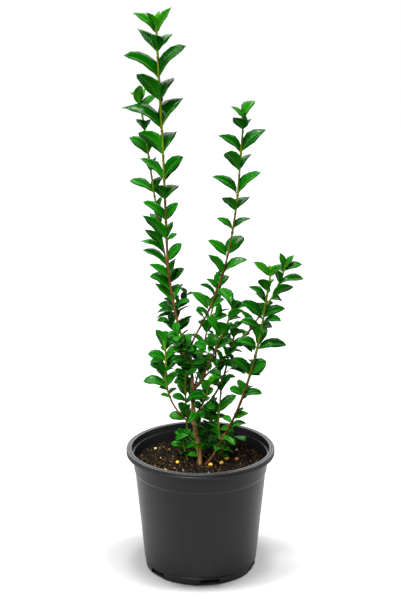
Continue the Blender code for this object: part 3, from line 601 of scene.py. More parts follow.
# %% One leaf
ARC_STEPS, ARC_BEND = 24, 0.8
ROOT_OFFSET = 0.45
SIZE_SPREAD, WIDTH_SPREAD, TWIST_SPREAD, RISE_SPREAD = 0.1, 0.08, 12.0, (7.0, 14.0)
FOLD = (14.0, 30.0)
LIGHT, TURN_TO_LIGHT = np.array([-0.2, -0.8, 0.56]), 46.0


@dataclass
class Leaf:
    """One leaf: its root, the way it points, its size, and how it rises, folds and twists."""

    root: np.ndarray
    outward: np.ndarray
    up: np.ndarray
    length: float
    width: float
    rise: tuple
    fold: float
    twist: float
    youth: float = 0.0


def leaf_on(place, outward, direction, radius, length, shape, rise, rng):
    """A leaf that leaves a stem, turned some way to the light, a little unlike its neighbours."""
    size = length * rng.uniform(1 - SIZE_SPREAD, 1 + SIZE_SPREAD)
    rise = [angle + rng.uniform(-spread, spread) for angle, spread in zip(rise, RISE_SPREAD)]
    width = size * shape * rng.uniform(1 - WIDTH_SPREAD, 1 + WIDTH_SPREAD)
    fold = rng.uniform(*FOLD)
    twist = -TURN_TO_LIGHT * float(np.dot(LIGHT, np.cross(direction, outward)))
    twist += rng.uniform(-TWIST_SPREAD, TWIST_SPREAD)
    return Leaf(place + outward * radius * ROOT_OFFSET, outward, direction, size, width, rise, fold, twist)


def leaf_tip(leaf):
    """The tip: the sum of even steps along an arc that starts steep and bends outward."""
    angles = np.radians(blend(leaf.rise, ((np.arange(ARC_STEPS) + 0.5) / ARC_STEPS) ** ARC_BEND))
    steps = np.outer(np.cos(angles), leaf.outward) + np.outer(np.sin(angles), leaf.up)
    return leaf.root + steps.sum(axis=0) * leaf.length / ARC_STEPS


def pair_directions(direction, turn):
    """The two opposite ways out of a stem that a pair of leaves takes at a turn about it."""
    angle = math.radians(turn)
    level = np.array([math.cos(angle), math.sin(angle), 0.0])
    outward = unit(level - direction * np.dot(level, direction))
    return outward, -outward


def drawn(fits, tries, youth, rng, *place):
    """Draw a leaf a few times: a list of the first that fits, or an empty one."""
    for _ in range(tries):
        leaf = leaf_on(*place, rng)
        if fits(leaf):
            leaf.youth = youth
            return [leaf]
    return []


print("opposite ways out of an upright stem:", *pair_directions(np.array([0.0, 0.0, 1.0]), 0.0))

# %% Side twigs
TWIG_RADII = (0.75, 0.5)
TWIG_LEAN, TWIG_LEAN_SPREAD, TWIG_BEND = 38.0, 10.0, 0.5


@dataclass
class Twig:
    """A side twig: three points that it bends through, its end radii, and how young it is."""

    points: tuple
    radii: tuple
    youth: float


def twig_from(point, outward, direction, length, rng):
    """The three points of a side twig that leaves a leaf axil and bends up, and its two directions."""
    lean = math.radians(TWIG_LEAN + rng.uniform(-TWIG_LEAN_SPREAD, TWIG_LEAN_SPREAD))
    way = unit(direction * math.cos(lean) + outward * math.sin(lean))
    bend = unit(way + direction * TWIG_BEND)
    half = length / 2
    return (point, point + way * half, point + (way + bend) * half), way, bend


def twig_is_solid(corners, points, way, direction):
    """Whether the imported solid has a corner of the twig's middle or end section."""
    across = unit(np.cross(way, direction))
    other = np.cross(way, across)
    return any(holds(corners, centre + radius * (math.cos(angle) * across + math.sin(angle) * other))
               for centre, radius in ((points[1], sum(TWIG_RADII) / 2), (points[2], TWIG_RADII[1]))
               for angle in (0.0, math.tau / 3, math.tau * 2 / 3))


print("a side twig tapers from", TWIG_RADII[0], "to", TWIG_RADII[1], "mm in radius")

# %% Growing a shoot
LEAF_TRIES = 4
TURN_SPREAD, END_BARE = 9.0, 6.0
YOUNG_SHARE, YOUNG_RISE = 0.82, (12.0, 40.0)
TIP_PAIRS, TIP_RISE, TIP_SINK = ((0.0, 1.0), (90.0, 0.6)), (80.0, 56.0), 1.2
TWIG_LENGTH_SPREAD, TWIG_LEAF = (0.75, 1.2), 0.72
TWIG_PAIRS = ((45.0, 0.95, 0.4), (135.0, 0.8, 0.75))


def rise_at(shoot, share):
    """How leaves rise at a share of the shoot's length: near the tip the young ones stand steeper."""
    young = max(0.0, (share - YOUNG_SHARE) / (1 - YOUNG_SHARE))
    return [angle + more * young for angle, more in zip(shoot.rise, YOUNG_RISE)]


def joints_of(shoot, corners):
    """Distances of the leaf pairs from the foot of the shoot's path."""
    distance, joints = first_ring(shoot, corners) + shoot.bare, []
    while distance < shoot.length - END_BARE:
        joints.append(distance)
        distance += float(read_at(shoot.gaps, distance / shoot.length))
    return joints


def grow(shoot):
    """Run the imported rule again: leaf pairs, side twigs with their leaves, and the pairs at the tip."""
    rng, corners = random.Random(shoot.seed), solid_points(shoot.name)
    leaves, twigs, axils, joints = [], [], [], joints_of(shoot, corners)

    def add(youth, *place):
        leaves.extend(drawn(lambda leaf: holds(corners, leaf_tip(leaf)), LEAF_TRIES, youth, rng, *place))

    for number, distance in enumerate(joints):
        share, radius = distance / shoot.length, float(limb_radius(shoot, distance))
        centre, direction = along(shoot, distance)
        turn = shoot.turn + 90 * number + rng.uniform(-TURN_SPREAD, TURN_SPREAD)
        length, shape = float(read_at(shoot.leaf, share)), float(read_at(shoot.shape, share))
        for outward in pair_directions(direction, turn):
            add(share, centre, outward, direction, radius, length, shape, rise_at(shoot, share))
            has_twig = False
            if rng.random() < shoot.twig_share:
                reach = shoot.twig_length * rng.uniform(*TWIG_LENGTH_SPREAD)
                points, way, bend = twig_from(centre, outward, direction, reach, rng)
                has_twig = twig_is_solid(corners, points, way, direction)
            if has_twig:
                twigs.append(Twig(points, TWIG_RADII, share))
                places = (points[1], points[2] - bend * TIP_SINK)
                for place, (quarter, size, youth) in zip(places, TWIG_PAIRS):
                    for side in pair_directions(bend, turn + quarter):
                        add(youth, place, side, bend, TWIG_RADII[1], length * TWIG_LEAF * size,
                            float(np.mean(shoot.shape)), shoot.rise)
            axils.append((centre, outward, direction, radius, length, shape, share, has_twig))
    centre, direction = along(shoot, shoot.length - TIP_SINK)
    for quarter, share in TIP_PAIRS:
        for outward in pair_directions(direction, shoot.turn + 90 * len(joints) + quarter):
            add(1.0, centre, outward, direction, shoot.radii[1], shoot.leaf[-1] * shoot.tip_leaf * share,
                shoot.shape[-1], TIP_RISE)
    return leaves, twigs, axils, joints


GROWN = {shoot.name: grow(shoot) for shoot in SHOOTS}
print("leaves that match the solids:", sum(len(grown[0]) for grown in GROWN.values()))

# %% Leaves as they are seen
FRONT_RISE, SIDE_ARC = (4.0, 26.0), (7.0, -9.0)
PAIR_TURN, FACES_US, LEAST_LIT = 14.0, 0.8, 0.05
LOOKS_TO, LOOKS_SHARE, MOST_TWIST = np.array([-0.10, -0.90, 0.42]), 0.42, 72.0


def turned_about(vector, axis, degrees):
    """A vector turned about an axis that it stands square to."""
    angle = math.radians(degrees)
    return vector * math.cos(angle) + np.cross(axis, vector) * math.sin(angle)


def dress(leaf):
    """Give a leaf a fuller arc, out of the way of its pair, and turn its face more to the light."""
    to_front, to_side = max(0.0, -float(leaf.outward[1])), abs(float(leaf.outward[0]))
    leaf.rise = [angle + front * to_front + side * to_side
                 for angle, front, side in zip(leaf.rise, FRONT_RISE, SIDE_ARC)]
    if abs(leaf.outward[1]) > FACES_US:
        leaf.outward = turned_about(leaf.outward, leaf.up, -PAIR_TURN)
    bend = math.radians(sum(leaf.rise) / 2)
    normal = math.cos(bend) * leaf.up - math.sin(bend) * leaf.outward
    lit = float(np.dot(normal, LOOKS_TO))
    if lit > LEAST_LIT:
        best = math.degrees(math.atan2(-float(np.dot(np.cross(leaf.up, leaf.outward), LOOKS_TO)), lit))
        leaf.twist += LOOKS_SHARE * (best - leaf.twist)
    leaf.twist = max(-MOST_TWIST, min(MOST_TWIST, leaf.twist))


grown_leaves = [leaf for leaves, *_ in GROWN.values() for leaf in leaves]
for leaf in grown_leaves:
    dress(leaf)
print("steepest leaf stalk:", round(max(leaf.rise[0] for leaf in grown_leaves)), "degrees")


# %% [markdown]
# ## Leaves measured on the picture
# On the outer shoots the picture shows nearly every leaf, so those were measured one by one. They stand at
# the same joints as the coarse leaves of the solids and take their places. Each group of seven numbers is
# a leaf: how far up its stem it sits, the way it points about the stem, how steeply it rises at its stalk
# and at its tip, its length, its width, and how far its face is twisted.

# %% Measured leaves
LEAF_TABLE = {
    "leader_foliage": """
        354 -180 76 21 39 15 -30  355 -18 72 47 37 14 57  362 -135 72 37 25 10 6  364 75 68 42 20 10 -39
        332 150 68 33 39 15 -18  332 -90 80 20 34 15 -18  334 60 60 4 37 18 -6  300 -177 76 11 54 21 -36
        302 0 80 20 52 20 39  273 -141 76 26 52 20 27  274 63 68 12 42 21 -15  240 162 68 -2 60 24 -18
        242 48 72 16 51 26 0  208 -153 80 20 47 19 54  210 69 64 8 43 21 -3  179 168 68 23 41 16 -24
        180 -12 80 20 38 15 69  178 0 60 40 11 4 39  154 -117 72 17 34 13 24  154 60 60 -1 33 16 6
        128 -180 72 22 38 15 -36  128 0 80 35 28 13 63  104 -159 72 32 46 18 36  104 75 68 17 31 15 -33
        104 0 44 24 15 7 48  77 0 72 32 29 12 60  50 69 72 26 37 18 -27  52 57 60 14 24 12 -15
        54 -180 72 27 33 13 -36  39 -180 76 36 34 13 -33  24 -180 76 46 35 14 -33  25 63 72 21 29 14 0""",
    "second_foliage": """
        271 -84 72 42 31 14 27  272 -180 88 38 20 9 -24  272 42 72 46 24 12 -12  264 0 64 19 28 12 51
        239 -102 64 14 30 13 -12  239 -63 60 15 26 11 3  209 177 84 24 34 15 -45  210 60 68 17 31 15 -6
        188 -99 72 27 28 12 -24  189 72 68 17 26 13 -27  162 177 72 7 36 16 -33  162 63 72 21 29 14 -3
        131 75 80 34 31 15 -33  121 111 68 12 28 14 18  92 -138 72 37 36 16 3  86 177 68 13 35 15 -27
        70 168 68 23 38 17 -21""",
    "centre_foliage": """
        244 66 60 24 31 15 -6  244 -180 68 18 21 8 -36  246 -117 68 48 14 6 -15  230 -123 60 20 28 12 21
        230 -96 72 42 30 12 -42  230 66 56 10 23 12 -18  202 -180 72 7 37 15 -36  203 0 80 20 42 17 39
        180 -141 72 22 36 17 39  182 69 60 9 31 15 -24  152 177 68 3 40 16 -24  152 -6 80 30 41 17 36
        132 -138 64 14 33 13 36  133 60 52 1 33 16 -12  109 177 64 -1 25 10 -30  110 0 76 11 26 10 30
        74 177 56 6 32 13 -36  76 66 56 10 39 19 -9  50 -168 68 23 35 14 54  52 -3 80 20 36 14 24
        30 -180 68 -2 21 8 -33  30 72 56 10 27 13 -15  31 -57 32 -25 36 14 21  0 174 56 1 33 13 -27
        1 -3 92 42 25 10 42""",
    "low_right_foliage": """
        95 -177 76 51 24 10 -51  96 0 88 63 23 10 39  94 3 72 12 26 12 33  92 132 36 -25 24 12 -21
        76 6 68 8 34 15 24  77 -135 64 24 25 11 27  56 -48 84 34 36 16 -6  54 42 56 -20 24 12 15""",
    "left_foliage": """
        0 174 96 36 24 12 -36  36 -180 72 22 13 6 -39  46 144 56 0 14 7 -12  48 174 68 -2 34 16 -30
        50 -3 68 28 25 12 45  40 45 44 -12 16 8 12  68 -141 68 18 22 11 39  55 117 64 18 31 15 27
        70 60 60 4 24 12 15  70 -54 56 6 18 9 -27  84 -180 60 0 26 13 -51  85 0 72 32 25 12 42
        100 -144 92 57 30 14 30  100 90 76 30 27 13 -30  98 63 56 5 20 10 15  98 -180 68 38 8 5 -42""",
    "left_upright_foliage": """
        2 -9 104 59 27 13 -48  4 162 96 45 26 13 -18  0 -51 40 -20 21 11 -3  0 -27 60 0 25 13 3
        30 -180 64 4 20 10 -24  30 -9 60 0 32 16 15  38 -180 96 46 27 14 -42  68 93 64 18 31 15 12
        66 -180 64 14 18 9 -27  66 -12 72 22 20 10 30  27 63 24 -25 14 7 0""",
    "right_foliage": """
        4 -36 48 -12 20 9 21  0 -63 76 16 17 8 -48  22 -6 76 16 23 10 12  28 132 24 -25 16 8 -30
        36 -6 80 20 21 9 36  44 -3 80 50 13 6 9  64 57 48 2 11 6 -18  71 177 48 -12 20 10 -39
        71 -3 68 -7 25 11 24  72 111 52 1 24 12 6  74 66 44 -12 20 10 -21  101 174 60 10 32 14 -33
        101 -3 88 43 30 17 51  101 45 24 -25 19 10 9  102 105 52 6 19 10 33  138 -3 64 -11 39 17 15
        140 -177 52 -23 30 13 -27  140 165 24 -25 21 10 -9  144 -165 88 48 32 14 39  142 72 60 14 28 14 -36
        168 45 28 -25 19 10 33  166 177 44 -11 29 12 -24  234 -180 56 21 28 12 -36  236 -171 84 64 14 6 39
        233 -63 72 22 28 12 -18  215 -135 72 27 26 13 36  219 69 52 6 19 10 -30  206 -174 56 6 28 12 -24
        200 129 40 -6 23 12 6  178 -174 60 20 38 16 -33  181 0 68 3 30 13 39  174 -39 60 0 30 13 27
        182 117 56 10 23 12 3""",
    "right_upright_foliage": """
        20 -180 76 21 25 11 -51  32 -180 80 35 23 10 -57  34 0 72 32 32 14 48  32 72 68 22 22 11 -33
        11 -36 36 -24 20 9 42  12 141 60 -1 20 10 -21  4 -141 64 9 19 9 39  61 -120 80 30 18 8 3
        62 57 68 12 24 12 -9  72 27 52 -4 22 11 9  73 -132 36 -25 16 8 -36""",
    "middle_foliage": """
        8 -3 80 40 27 12 27  11 108 40 -11 20 10 -6  26 177 60 15 34 15 -24  24 -3 80 40 14 6 30
        38 129 20 -25 17 9 -27  28 -153 92 42 24 15 42  50 -51 80 35 32 14 -21  50 51 40 -16 23 12 -9
        64 -57 84 34 24 11 -30  64 36 44 -12 25 12 3  67 114 40 -6 26 13 0  35 48 44 -12 23 12 0""",
    "basal_left_foliage": """
        20 -180 64 -1 18 9 -42  18 -9 48 -7 20 10 42  9 -114 68 8 15 8 15  9 -21 32 -25 17 9 15
        31 -108 104 64 18 9 -6  32 -9 56 6 16 8 42  32 42 68 22 16 8 9  23 51 44 -12 16 8 27
        34 123 56 5 15 8 -6""",
    "trunk_foliage": """
        42 -153 36 -24 28 12 -18  20 -174 68 18 15 9 -39  13 -108 28 -25 23 10 9  16 -66 52 -8 17 9 21
        31 69 32 -18 15 7 -6  45 159 80 35 20 10 -36  44 -6 100 50 16 8 42  60 -36 92 37 23 11 -57
        58 -159 76 36 14 7 57  60 81 44 4 18 8 -24""",
    "trunk": """
        16 -105 112 37 19 13 9  18 -30 92 37 14 9 -48  32 -171 100 50 14 8 -60  11 -147 56 -4 17 8 -39
        56 -30 76 26 14 8 -51""",
}
MEASURED = {name: np.array(text.split(), dtype=float).reshape(-1, 7).tolist()
            for name, text in LEAF_TABLE.items()}
BELOW_MEASURED = 8.0
FOLD_HIDES = 1.12


def measured_leaf(shoot, distance, turn, first, last, length, width, twist):
    """A leaf from one row of the table, where it leaves its stem."""
    centre, direction = along(shoot, distance)
    outward = pair_directions(direction, turn)[0]
    root = centre + outward * float(limb_radius(shoot, distance)) * ROOT_OFFSET
    fold = blend(FOLD, 0.5 + 0.5 * math.sin(9.7 * length + turn))
    return Leaf(root, outward, direction, length, width * FOLD_HIDES, (first, last), fold, twist,
                distance / shoot.length)


def measured_from(shoot):
    """The height from which a shoot's leaves are measured ones, or none for a shoot without them."""
    if shoot.name not in MEASURED:
        return math.inf
    lowest = max(0.0, min(row[0] for row in MEASURED[shoot.name]) - BELOW_MEASURED)
    return along(shoot, lowest)[0][2] - 0.5


def with_measured(shoot):
    """A grown shoot whose upper leaves and twigs give way to the measured leaves."""
    leaves, twigs, axils, joints = GROWN[shoot.name]
    height = measured_from(shoot)
    leaves = [leaf for leaf in leaves if leaf.root[2] < height]
    leaves += [measured_leaf(shoot, *row) for row in MEASURED.get(shoot.name, ())]
    return leaves, [twig for twig in twigs if twig.points[0][2] < height], axils, joints


CROWN = {shoot.name: with_measured(shoot) for shoot in SHOOTS}
TRUNK_LEAVES = [measured_leaf(LIMBS[0], *row) for row in MEASURED["trunk"]]
print("measured leaves:", sum(len(rows) for rows in MEASURED.values()),
      "main leaves in all:", sum(len(grown[0]) for grown in CROWN.values()))


# %% [markdown]
# ## The surface of a leaf
# A privet leaf is a glossy blade on a short stalk, folded along its midrib like a shallow V. All leaves are
# worked out at once: one axis of the arrays counts leaves, one runs from stalk to tip, and one across. The
# top and the underside share their outer edge, so each leaf is a closed shape. Lower leaves are round at
# the end and upper ones pointed, which only needs other exponents in the formula of the outline.

# %% Outline and bend
STALK = 0.07
ROWS = np.array([0, 0.07, 0.18, 0.34, 0.52, 0.70, 0.88, 1.0])
SMALL_ROWS = np.array([0, 0.07, 0.24, 0.50, 0.78, 1.0])
LONG_SHAPE, ROUND_SHAPE = 0.42, 0.58
LONG_POWERS, ROUND_POWERS = (0.76, 0.98), (0.74, 0.60)
END_SPREAD = 0.18


def gathered(leaves, *fields):
    """Fields of all leaves, each as an array."""
    return [np.array([getattr(leaf, field) for leaf in leaves], dtype=float) for field in fields]


def half_widths(leaves, rows):
    """Half widths: a product of powers, s^a (1 - s)^b scaled to one at its widest, on a thin stalk."""
    length, width = gathered(leaves, "length", "width")
    roundness = np.clip((width / length - LONG_SHAPE) / (ROUND_SHAPE - LONG_SHAPE), 0, 1)[:, None]
    a, b = (blend(ends, roundness) for ends in zip(LONG_POWERS, ROUND_POWERS))
    b = b * (1 + END_SPREAD * np.sin(length * 97.0))[:, None]
    share = np.clip((rows[None, :] - STALK) / (1 - STALK), 0, 1)
    widest = a / (a + b)
    outline = (share / widest) ** a * ((1 - share) / (1 - widest)) ** b
    stalk = (0.42 + 0.006 * length)[:, None] * np.clip(1.6 - rows / STALK * 0.8, 0, 1)
    return np.maximum(width[:, None] / 2 * outline, stalk) + 0.05


def midlines(leaves, rows):
    """Middle, side and normal of every leaf at every row, along an arc that bends from stem to tip."""
    rise, outward, up, root = gathered(leaves, "rise", "outward", "up", "root")
    length, twist = gathered(leaves, "length", "twist")
    rise, outward, up = rise.T[..., None], outward[:, None], up[:, None]
    angles = np.radians(blend(rise, ((np.arange(ARC_STEPS) + 0.5) / ARC_STEPS) ** ARC_BEND))[..., None]
    steps = np.cos(angles) * outward + np.sin(angles) * up
    line = np.concatenate([np.zeros((len(leaves), 1, 3)), np.cumsum(steps, axis=1)], axis=1)
    line *= length[:, None, None] / ARC_STEPS
    place = np.minimum(rows * ARC_STEPS, ARC_STEPS - 1e-6)
    low = place.astype(int)
    middle = root[:, None] + blend((line[:, low], line[:, low + 1]), (place - low)[None, :, None])
    bend = np.radians(blend(rise, rows ** ARC_BEND))[..., None]
    normal = np.cos(bend) * up - np.sin(bend) * outward
    side, turn = np.cross(up, outward), np.radians(twist)[:, None, None]
    return middle, np.cos(turn) * side + np.sin(turn) * normal, np.cos(turn) * normal - np.sin(turn) * side


print("rows of a full leaf:", len(ROWS), "and of a small one:", len(SMALL_ROWS))

# %% Blades
BULGE, MARGIN_ROLL, WAVE, SICKLE = 0.30, 0.10, 0.05, 0.035
BLADE_THICK, STALK_THICK = 0.16, 0.50
RIB_DEPTH, RIB_HEIGHT = 0.16, 0.30
FACET_FILL = 1.055


def columns(half, rows, length):
    """Where the columns stand across a leaf, as shares of its half width: edges, middles, rib, centre."""
    rib = np.clip((0.40 - 0.28 * rows)[None] * np.sqrt(length / 40.0)[:, None] / half, 0.03, 0.45)
    right = np.stack([rib, (1 + rib) / 2, np.ones_like(rib)], axis=2)
    return np.concatenate([-right[..., ::-1], np.zeros_like(right[..., :1]), right], axis=2)


def blade_points(leaves, rows, rng):
    """Top and underside of all leaves.

    Across the blade the surface rises with the fold, bulges between rib and edge, and rolls down at the
    margin. A slow wave runs along each half, and the whole blade bends a little sideways.
    """
    length, fold = gathered(leaves, "length", "fold")
    half = half_widths(leaves, rows) * FACET_FILL
    middle, across, facing = midlines(leaves, rows)
    u = columns(half, rows, length)
    out, size, s, length = np.abs(u), half[..., None], rows[None, :, None], length[:, None, None]
    slope = np.radians(fold)[:, None, None] * (1.3 - 0.5 * s)
    phase, pace, bow = rng.random((3, len(leaves), 1, 1))
    wave = np.sin(2 * np.pi * (1.2 + pace) * s + 2 * np.pi * phase + 1.3 * np.sign(u))
    lift = size * (np.sin(slope) * out + BULGE * out * (1 - out) - MARGIN_ROLL * out ** 5)
    lift = lift + WAVE * length * 0.5 * wave * out ** 2 * np.sin(np.pi * s)
    shift = SICKLE * 2 * (bow - 0.5) * length * s ** 2
    stalk = np.clip(1.5 - s / STALK * 0.75, 0, 1)
    thick = STALK_THICK * stalk * np.sqrt(1 - u ** 2) + BLADE_THICK * (1 - stalk) * (1 - u ** 6)
    near_rib = np.clip(1 - out / np.maximum(u[..., -3:-2] * 0.8, 0.1), 0, 1) * (1 - stalk)
    base = middle[:, :, None] + across[:, :, None] * (size * np.cos(slope) * u + shift)[..., None]
    top = base + facing[:, :, None] * (lift + thick - RIB_DEPTH * near_rib * (1 - 0.6 * s))[..., None]
    under = base + facing[:, :, None] * (lift - thick - RIB_HEIGHT * near_rib * (1 - 0.7 * s))[..., None]
    return top, under, u


def blade_faces(row_count, column_count):
    """Faces of one leaf: the top grid, the underside grid turned over, and the two small ends."""
    top = np.arange(row_count * column_count).reshape(row_count, column_count)
    under = top.copy()
    under[:, 1:-1] = np.arange(row_count * (column_count - 2)).reshape(row_count, -1) + top.size
    first, last = (np.concatenate([top[row], under[row, -2:0:-1]])[None] for row in (0, -1))
    return grid_faces(top), flipped(grid_faces(under)), np.concatenate([first, last[:, ::-1]])


print("faces of a full leaf:", sum(len(part) for part in blade_faces(len(ROWS), 7)))

# %% Colours of the leaves
# Heights over which leaves low in the crown are dealt a lighter green: painted light that makes up for the
# shade the crown casts there.
LOW_CROWN, LOW_PAINTED_LIGHT = (200.0, 420.0), 0.9


def leaf_numbers(leaves, rng):
    """Which leaf colour each leaf wears: green low on a shoot, deeper higher up, fresh at the very tip, and a
    lighter green low in the crown, as painted light against the crown's shade.
    """
    youth, root = gathered(leaves, "youth", "root")
    low = np.clip((LOW_CROWN[1] - root[:, 2]) / (LOW_CROWN[1] - LOW_CROWN[0]), 0, 1)
    fresh_tip = 3.0 * np.clip((youth - 0.90) / 0.08, 0, 1)
    # The term for the low crown is painted light: leaves there get a lighter colour against the crown's
    # shade.
    level = 1.10 - 0.95 * youth + LOW_PAINTED_LIGHT * low + fresh_tip + rng.normal(0, 0.5, len(leaves))
    return np.clip(np.round(level), 0, 4).astype(int)


def add_blades(shape, leaves, rows, rng):
    """Gather the blades of some leaves, with the look of every strip and the leaf's own map."""
    top, under, u = blade_points(leaves, rows, rng)
    count, row_count, column_count = u.shape
    upper, lower, ends = blade_faces(row_count, column_count)
    length = np.broadcast_to(rows[None, :, None], u.shape)

    def both(above, below):
        """Corners of the top, then the inner corners of the underside."""
        below = below[:, :, 1:-1]
        return np.concatenate([part.reshape(count, -1, *above.shape[3:]) for part in (above, below)], axis=1)

    points = both(top, under)
    places = np.stack([both(u, u), both(length, length)], axis=2)
    colour = leaf_numbers(leaves, rng)[:, None]
    strips = column_count - 1
    strip = np.tile(np.arange(strips), row_count - 1)
    end = rows[1:].repeat(strips)
    on_rib, on_stalk = (strip == strips // 2) | (strip == strips // 2 - 1), end <= STALK + 1e-6
    above = np.where((on_rib & (end < 0.97)) | on_stalk, RIB, colour)
    # Undersides wear the pale green with painted light through the leaf, and the young ones are lighter
    # still.
    below = np.where(on_rib | on_stalk, UNDER_RIB, np.where(colour >= 3, UNDER_YOUNG_PAINTED_LIGHT, UNDER_PAINTED_LIGHT))
    offset = (np.arange(count) * points.shape[1])[:, None, None]
    groups = [((faces[None] + offset).reshape(-1, faces.shape[1]), looks)
              for faces, looks in ((upper, above.ravel()), (lower, below.ravel()), (ends, RIB))]
    shape.add(points.reshape(-1, 3), groups, places.reshape(-1, 2))


print("colour numbers of the leader's lowest leaves:",
      leaf_numbers(CROWN["leader_foliage"][0][-5:], np.random.default_rng(1)))


# %% [markdown]
# ## Finer twigs
# In many leaf axils and along the older wood there are short twigs with a few small leaves, and near the
# tips there are tiny pairs that have just opened. The solids leave these out. An axil that has no twig yet
# may get one, and each new leaf is kept only where its blade crosses nothing that is already there.

# %% Room in the crown
TEST_ROWS, TEST_GROWTH = np.array([0.12, 0.35, 0.6, 0.85, 1.0]), 0.9
REACH_SHARE = 0.6


def sheet_tree(leaf):
    """A search tree over a coarse sheet of the leaf, a little wider than the blade."""
    half = half_widths([leaf], TEST_ROWS)[0] + TEST_GROWTH
    middle, across, facing = (part[0] for part in midlines([leaf], TEST_ROWS))
    rise = facing * (half * math.sin(math.radians(leaf.fold)) * 0.9)[:, None]
    reach = across * (half * 0.95)[:, None]
    points = np.stack([middle - reach + rise, middle, middle + reach + rise], 1).reshape(-1, 3)
    faces = grid_faces(np.arange(len(points)).reshape(-1, 3))
    return BVHTree.FromPolygons(points.tolist(), faces.tolist())


def solid_tree(name):
    """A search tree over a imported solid, in millimetres."""
    polygons = [list(face.vertices) for face in frame["nodes"][name].data.polygons]
    return BVHTree.FromPolygons(solid_points(name).tolist(), polygons)


class Room:
    """What each new leaf has to keep clear of: leaves by their places, and the limbs and the pot."""

    def __init__(self):
        self.hard = [solid_tree(node) for node in ("pot", "compost", *(limb.name for limb in LIMBS))]
        self.trees, self.centres, self.sizes = [], [], []

    def add(self, leaf, tree):
        """Remember a leaf."""
        self.trees.append(tree)
        self.centres.append((leaf.root + leaf_tip(leaf)) / 2)
        self.sizes.append(leaf.length * REACH_SHARE)

    def takes(self, leaf):
        """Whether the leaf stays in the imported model's box and crosses nothing; if so, it is remembered."""
        tip, tree = leaf_tip(leaf), sheet_tree(leaf)
        if not all(low <= side <= high for low, side, high in zip(cad_low, tip * MM, cad_high)):
            return False
        distance = np.linalg.norm(np.array(self.centres) - (leaf.root + tip) / 2, axis=1)
        near = np.nonzero(distance < np.array(self.sizes) + leaf.length * REACH_SHARE)[0]
        if any(other.overlap(tree) for other in (*(self.trees[index] for index in near), *self.hard)):
            return False
        self.add(leaf, tree)
        return True


ROOM = Room()
for leaves in (TRUNK_LEAVES, *(grown[0] for grown in CROWN.values())):
    for leaf in leaves:
        ROOM.add(leaf, sheet_tree(leaf))
print("leaves in the crown before the finer twigs:", len(ROOM.trees))

# %% A fine twig
FINE_LENGTH, FINE_RADII = (9.0, 18.0), (0.60, 0.36)
FINE_PAIRS = ((0.50, 45.0, 1.0), (1.0, 135.0, 0.92), (1.0, 45.0, 0.45))
FINE_LEAF, FINE_SHAPE, FINE_RISE, FINE_TRIES = (17.0, 25.0), (0.53, 0.66), (50.0, 0.0), 6
FINE_SINK, FINE_YOUTH = 0.6, 0.25


def room_leaf(youth, rng, *place):
    """Draw a leaf a few times, and keep the first that has room."""
    return drawn(ROOM.takes, FINE_TRIES, youth, rng, *place)


def bend_through(points, share):
    """A point on the smooth curve through three points."""
    first, second, third = points
    return (first * (1 - share) * (1 - 2 * share) + second * 4 * share * (1 - share)
            + third * share * (2 * share - 1))


def fine_twig(point, outward, direction, youth, rng):
    """The leaves and the stem of a fine twig, or nothing where too few of its leaves have room."""
    length, leaf_length = rng.uniform(*FINE_LENGTH), rng.uniform(*FINE_LEAF)
    points, _, bend = twig_from(point, outward, direction, length, rng)
    shape, turn = rng.uniform(*FINE_SHAPE), rng.uniform(0, 180)
    leaves = []
    for share, quarter, size in FINE_PAIRS:
        place = bend_through(points, share) - bend * (FINE_SINK if share == 1.0 else 0.0)
        for side in pair_directions(bend, turn + quarter * 2):
            leaves += room_leaf(min(1.0, youth + FINE_YOUTH * share), rng, place, side, bend, FINE_RADII[1],
                                leaf_length * size, shape, FINE_RISE)
    return (leaves, [Twig(points, FINE_RADII, youth)]) if len(leaves) > 1 else ([], [])


print("pairs on a fine twig:", len(FINE_PAIRS))

# %% Finer growth on shoots
FINE_TOP, FINE_FADE, FINE_CHANCE = 345.0, 60.0, 0.60
AXIL_LEAF, AXIL_CHANCE, AXIL_RISE = (6.0, 12.0), 0.40, (72.0, 30.0)
AXIL_YOUTH, AXIL_LIFT, AXIL_SHAPE, AXIL_TWIG_YOUTH = 0.9, 1.2, 0.5, 0.6
COMPANION_HEIGHTS, COMPANION_CHANCE, COMPANION_MOST = (300.0, 520.0), 0.75, 31.0
COMPANION_TURN, COMPANION_SIZE, COMPANION_RISE = (38.0, 62.0), (0.80, 1.08), (62.0, 14.0)
COMPANION_BELOW, COMPANION_YOUTH, COMPANION_SHAPE, COMPANION_LIFT = 0.8, 0.8, 0.94, 0.8
ROSETTE, ROSETTE_RISE = ((3.5, 45.0, 0.36), (7.0, 20.0, 0.44)), (76.0, 34.0)
ROSETTE_SPREAD, ROSETTE_YOUTH, ROSETTE_SHAPE = 12.0, 0.98, 1.1
HIDDEN_SIDE = 0.78


def tip_rosette(shoot, rng):
    """The small leaves that crowd round a growing tip."""
    leaves = []
    for back, turn, size in ROSETTE:
        centre, direction = along(shoot, shoot.length - back)
        turn = shoot.turn + turn + rng.uniform(-ROSETTE_SPREAD, ROSETTE_SPREAD)
        for outward in pair_directions(direction, turn):
            leaves += room_leaf(ROSETTE_YOUTH, rng, centre, outward, direction, shoot.radii[1],
                                shoot.leaf[-1] * size, shoot.shape[-1] * ROSETTE_SHAPE, ROSETTE_RISE)
    return leaves


def companion(centre, outward, direction, radius, length, shape, share, rng):
    """A leaf beside a main one, from the short shoot in its axil, turned part of the way round the stem."""
    way = turned_about(outward, direction, rng.choice((-1, 1)) * rng.uniform(*COMPANION_TURN))
    size = min(COMPANION_MOST, length * rng.uniform(*COMPANION_SIZE))
    place = centre + direction * COMPANION_LIFT
    return room_leaf(share * COMPANION_YOUTH, rng, place, way, direction, radius, size,
                     shape * COMPANION_SHAPE, COMPANION_RISE)


